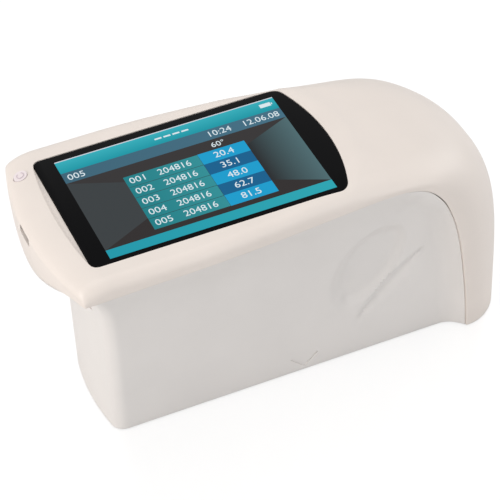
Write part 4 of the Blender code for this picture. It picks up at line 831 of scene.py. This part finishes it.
for k in range(4):
    made = bmesh.ops.create_cube(bm, size=1.0)["verts"]
    bmesh.ops.scale(bm, verts=made, vec=(*DASH_SIZE, LAYER))
    bmesh.ops.translate(bm, verts=made, vec=(DASH_START + k * DASH_PITCH, title_y - TEXT_DROP,
                                             PICTURE_Z + LAYER * (TEXT_LEVEL - 0.4)))
for low, high in BATTERY_PARTS:
    made = bmesh.ops.create_cube(bm, size=1.0)["verts"]
    bmesh.ops.scale(bm, verts=made, vec=(high[0] - low[0], high[1] - low[1], LAYER))
    bmesh.ops.translate(bm, verts=made, vec=((low[0] + high[0]) / 2, title_y + TEXT_DROP,
                                             PICTURE_Z + LAYER * (TEXT_LEVEL - 0.4)))
figures_mesh = bpy.data.meshes.new("figures")
bm.to_mesh(figures_mesh)
bm.free()
figures = bpy.data.objects.new("figures", figures_mesh)
bpy.context.scene.collection.objects.link(figures)
finish_with(figures, lettering)
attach(figures, "housing")

# The power button is a small white moulded cap. Its top follows the cover's slope, and a thin grey
# ring with a gap is printed on it. It and the switch's plunger keep the shape they have.
cap_white = moulded("cap_white", (0.86, 0.77, 0.78), 0.32)
for name in ("power_button", "switch_plunger"):
    finish_with(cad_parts[name], cap_white)
RING_RADIUS = 0.00115
RING_WIDTH = 0.00022
RING_PROUD = 0.00004
RING_GAP = math.radians(60)
CAP_RIM = 0.0012                 # the cap's top edge lies within this height
bm = bmesh.new()
start_dir = Vector((math.sin(RING_GAP / 2), math.cos(RING_GAP / 2), 0))
across = [bm.verts.new(start_dir * (RING_RADIUS - RING_WIDTH / 2)),
          bm.verts.new(start_dir * (RING_RADIUS + RING_WIDTH / 2))]
stroke = bm.edges.new(across)
bmesh.ops.spin(bm, geom=[stroke, *across], axis=(0, 0, 1), cent=(0, 0, 0), steps=40,
               angle=-(2 * math.pi - RING_GAP))
flat = bm.faces[:]
raised = bmesh.ops.extrude_face_region(bm, geom=flat)["geom"]
bmesh.ops.translate(bm, verts=[v for v in raised if isinstance(v, bmesh.types.BMVert)],
                    vec=(0, 0, RING_PROUD))
bmesh.ops.recalc_face_normals(bm, faces=bm.faces)
ring_mesh = bpy.data.meshes.new("power_ring")
bm.to_mesh(ring_mesh)
bm.free()
cap_top = max((v.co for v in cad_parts["power_button"].data.vertices), key=lambda c: c.z)
cap_rim = [v.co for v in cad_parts["power_button"].data.vertices if v.co.z > cap_top.z - CAP_RIM]
left_rim, right_rim = min(cap_rim, key=lambda c: c.x), max(cap_rim, key=lambda c: c.x)
cap_slope = math.atan2(right_rim.z - left_rim.z, right_rim.x - left_rim.x)
cap_height = (left_rim.z + right_rim.z) / 2
ring_mesh.transform(Matrix.Translation((button_x, button_y, cap_height + 0.00001))
                    @ Matrix.Rotation(-cap_slope, 4, "Y"))
power_ring = bpy.data.objects.new("power_ring", ring_mesh)
bpy.context.scene.collection.objects.link(power_ring)
finish_with(power_ring, moulded("ring_grey", (0.60, 0.50, 0.55), 0.5))
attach(power_ring, "power_button")

# The socket in the end face is a pressed steel shell, let in behind its slot, with a black tongue
# that carries the contacts.
TONGUE_THICK = 0.0007
tongue = box_piece("socket_tongue", (usb_low.x + 0.0012, usb_low.y + 0.0011, (usb_low.z + usb_high.z) / 2),
                   (usb_high.x - 0.0010, usb_high.y - 0.0011,
                    (usb_low.z + usb_high.z) / 2 + TONGUE_THICK), 0.00015)
settle(tongue)


def metal(name, colour, roughness, brushed=0.0):
    """Bare or plated metal, with fine uneven wear in its roughness."""
    material = moulded(name, colour, roughness, grain=900.0, depth=0.00001 + brushed, drift=0.05)
    material.node_tree.nodes["Principled BSDF"].inputs["Metallic"].default_value = 1.0
    return material


black_nylon = moulded("black_nylon", (0.012, 0.012, 0.013), 0.5)
finish_with(tongue, black_nylon)
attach(tongue, "housing")

# Inside are the parts that the covers hide: boards, chips, battery, cables and the optical block
# with its lenses. They keep their shapes and get the finish of what each is made of.
plated_steel = metal("plated_steel", (0.60, 0.60, 0.61), 0.30)
turned_brass = metal("turned_brass", (0.72, 0.53, 0.24), 0.28)
anodised = moulded("black_anodised", (0.015, 0.015, 0.017), 0.45, grain=1600.0)
board_green = moulded("board_green", (0.012, 0.11, 0.045), 0.38, grain=700.0, drift=0.12)
amber_film = moulded("amber_film", (0.42, 0.19, 0.035), 0.30)
cream_nylon = moulded("cream_nylon", (0.70, 0.64, 0.52), 0.48)
blue_sleeve = moulded("blue_sleeve", (0.03, 0.10, 0.32), 0.33, grain=400.0)
black_foam = moulded("black_foam", (0.02, 0.02, 0.02), 0.85, grain=1500.0, depth=0.0002)
plate_white = moulded("plate_white", (0.80, 0.745, 0.70), 0.48)
clear_glass = bpy.data.materials.new("clear_optical_glass")
clear_glass.use_nodes = True
clear_shader = clear_glass.node_tree.nodes["Principled BSDF"]
clear_shader.inputs["Base Color"].default_value = (0.93, 0.97, 0.96, 1.0)
clear_shader.inputs["Transmission Weight"].default_value = 0.9
clear_shader.inputs["Roughness"].default_value = 0.03
dark_shell = moulded("black_plated_shell", (0.010, 0.010, 0.011), 0.5)
finishes = {plated_steel: ("lcd_backlight", "display_bracket"), dark_shell: ("usb_socket",),
            board_green: ("main_board", "io_board", "lamp_board", "sensor_board"),
            black_nylon: ("processor_chip", "memory_chip", "buzzer", "switch_body", "photodiode",
                          "battery_tray", "battery_cable", "optics_cable", "lcd_panel"),
            anodised: ("optical_block", "lamp_slit", "receiver_slit"),
            clear_glass: ("collimator_lens", "receiver_lens", "lamp_led"),
            amber_film: ("display_cable",), cream_nylon: ("battery_connector",),
            blue_sleeve: ("battery_pack",), black_foam: ("window_gasket",), plate_white: ("base_plate",)}
for material, names in finishes.items():
    for name in names:
        finish_with(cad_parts[name], material)
for name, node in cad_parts.items():
    if "screw" in name:
        finish_with(node, plated_steel)
    elif "standoff" in name:
        finish_with(node, turned_brass)

# The room: a white floor that keeps a soft shadow and a faint reflection, even light from all round,
# a large soft light from the connector end, and weaker ones from above, from the nose and from the
# long side.
floor_mesh = bpy.data.meshes.new("floor")
bm = bmesh.new()
bmesh.ops.create_grid(bm, x_segments=1, y_segments=1, size=6.0)
bm.to_mesh(floor_mesh)
bm.free()
floor = bpy.data.objects.new("floor", floor_mesh)
bpy.context.scene.collection.objects.link(floor)
floor_look = bpy.data.materials.new("floor_white")
floor_look.use_nodes = True
nodes, links = floor_look.node_tree.nodes, floor_look.node_tree.links
nodes.clear()
output = nodes.new("ShaderNodeOutputMaterial")
seen = nodes.new("ShaderNodeLightPath")
plain = nodes.new("ShaderNodeBsdfDiffuse")
plain.inputs["Color"].default_value = (0.80, 0.80, 0.80, 1.0)
glow = nodes.new("ShaderNodeEmission")
glow.inputs["Color"].default_value = (1.0, 1.0, 1.0, 1.0)
glow.inputs["Strength"].default_value = 0.715
shadow_catch = nodes.new("ShaderNodeBsdfDiffuse")
shadow_catch.inputs["Color"].default_value = (0.20, 0.20, 0.20, 1.0)
mirror = nodes.new("ShaderNodeBsdfAnisotropic")
mirror.inputs["Color"].default_value = (0.16, 0.16, 0.16, 1.0)
mirror.inputs["Roughness"].default_value = 0.22
sum_soft = nodes.new("ShaderNodeAddShader")
sum_all = nodes.new("ShaderNodeAddShader")
pick = nodes.new("ShaderNodeMixShader")
links.new(glow.outputs["Emission"], sum_soft.inputs[0])
links.new(shadow_catch.outputs["BSDF"], sum_soft.inputs[1])
links.new(sum_soft.outputs["Shader"], sum_all.inputs[0])
links.new(mirror.outputs["BSDF"], sum_all.inputs[1])
links.new(seen.outputs["Is Camera Ray"], pick.inputs["Fac"])
links.new(plain.outputs["BSDF"], pick.inputs[1])
links.new(sum_all.outputs["Shader"], pick.inputs[2])
links.new(pick.outputs["Shader"], output.inputs["Surface"])
floor.data.materials.append(floor_look)

world = bpy.data.worlds.new("studio")
bpy.context.scene.world = world
world.use_nodes = True
nodes, links = world.node_tree.nodes, world.node_tree.links
nodes.clear()
world_out = nodes.new("ShaderNodeOutputWorld")
world_path = nodes.new("ShaderNodeLightPath")
fill = nodes.new("ShaderNodeBackground")
fill.inputs["Color"].default_value = (0.96, 0.98, 1.0, 1.0)
fill.inputs["Strength"].default_value = 0.50
white = nodes.new("ShaderNodeBackground")
white.inputs["Color"].default_value = (1.0, 1.0, 1.0, 1.0)
white.inputs["Strength"].default_value = 1.0
either = nodes.new("ShaderNodeMath")
either.operation = "MAXIMUM"
any_of = nodes.new("ShaderNodeMath")
any_of.operation = "MAXIMUM"
world_mix = nodes.new("ShaderNodeMixShader")
links.new(world_path.outputs["Is Camera Ray"], either.inputs[0])
links.new(world_path.outputs["Is Glossy Ray"], either.inputs[1])
links.new(either.outputs["Value"], any_of.inputs[0])
links.new(world_path.outputs["Is Transmission Ray"], any_of.inputs[1])
links.new(any_of.outputs["Value"], world_mix.inputs["Fac"])
links.new(fill.outputs["Background"], world_mix.inputs[1])
links.new(white.outputs["Background"], world_mix.inputs[2])
links.new(world_mix.outputs["Shader"], world_out.inputs["Surface"])


def soft_light(name, at, aim, size, power, colour):
    data = bpy.data.lights.new(name, "AREA")
    data.size = size
    data.energy = power
    data.color = colour
    lamp = bpy.data.objects.new(name, data)
    at, aim = Vector(at), Vector(aim)
    lamp.location = at
    lamp.rotation_euler = (aim - at).to_track_quat("-Z", "Y").to_euler()
    bpy.context.scene.collection.objects.link(lamp)


soft_light("end_light", (-1.5, -0.25, 0.75), (0, 0, 0.04), 0.9, 13.5, (1.0, 0.95, 0.905))
soft_light("top_light", (-0.2, 0.25, 1.5), (0, 0, 0.05), 1.0, 4.2, (1.0, 0.985, 0.965))
soft_light("nose_light", (1.4, 0.2, 0.8), (0.04, 0, 0.04), 1.0, 6.0, (1.0, 0.98, 0.96))
soft_light("side_light", (0.9, -1.3, 0.7), (0, 0, 0.04), 1.2, 4.8, (0.97, 0.98, 1.0))
bpy.context.scene.view_settings.view_transform = "Standard"
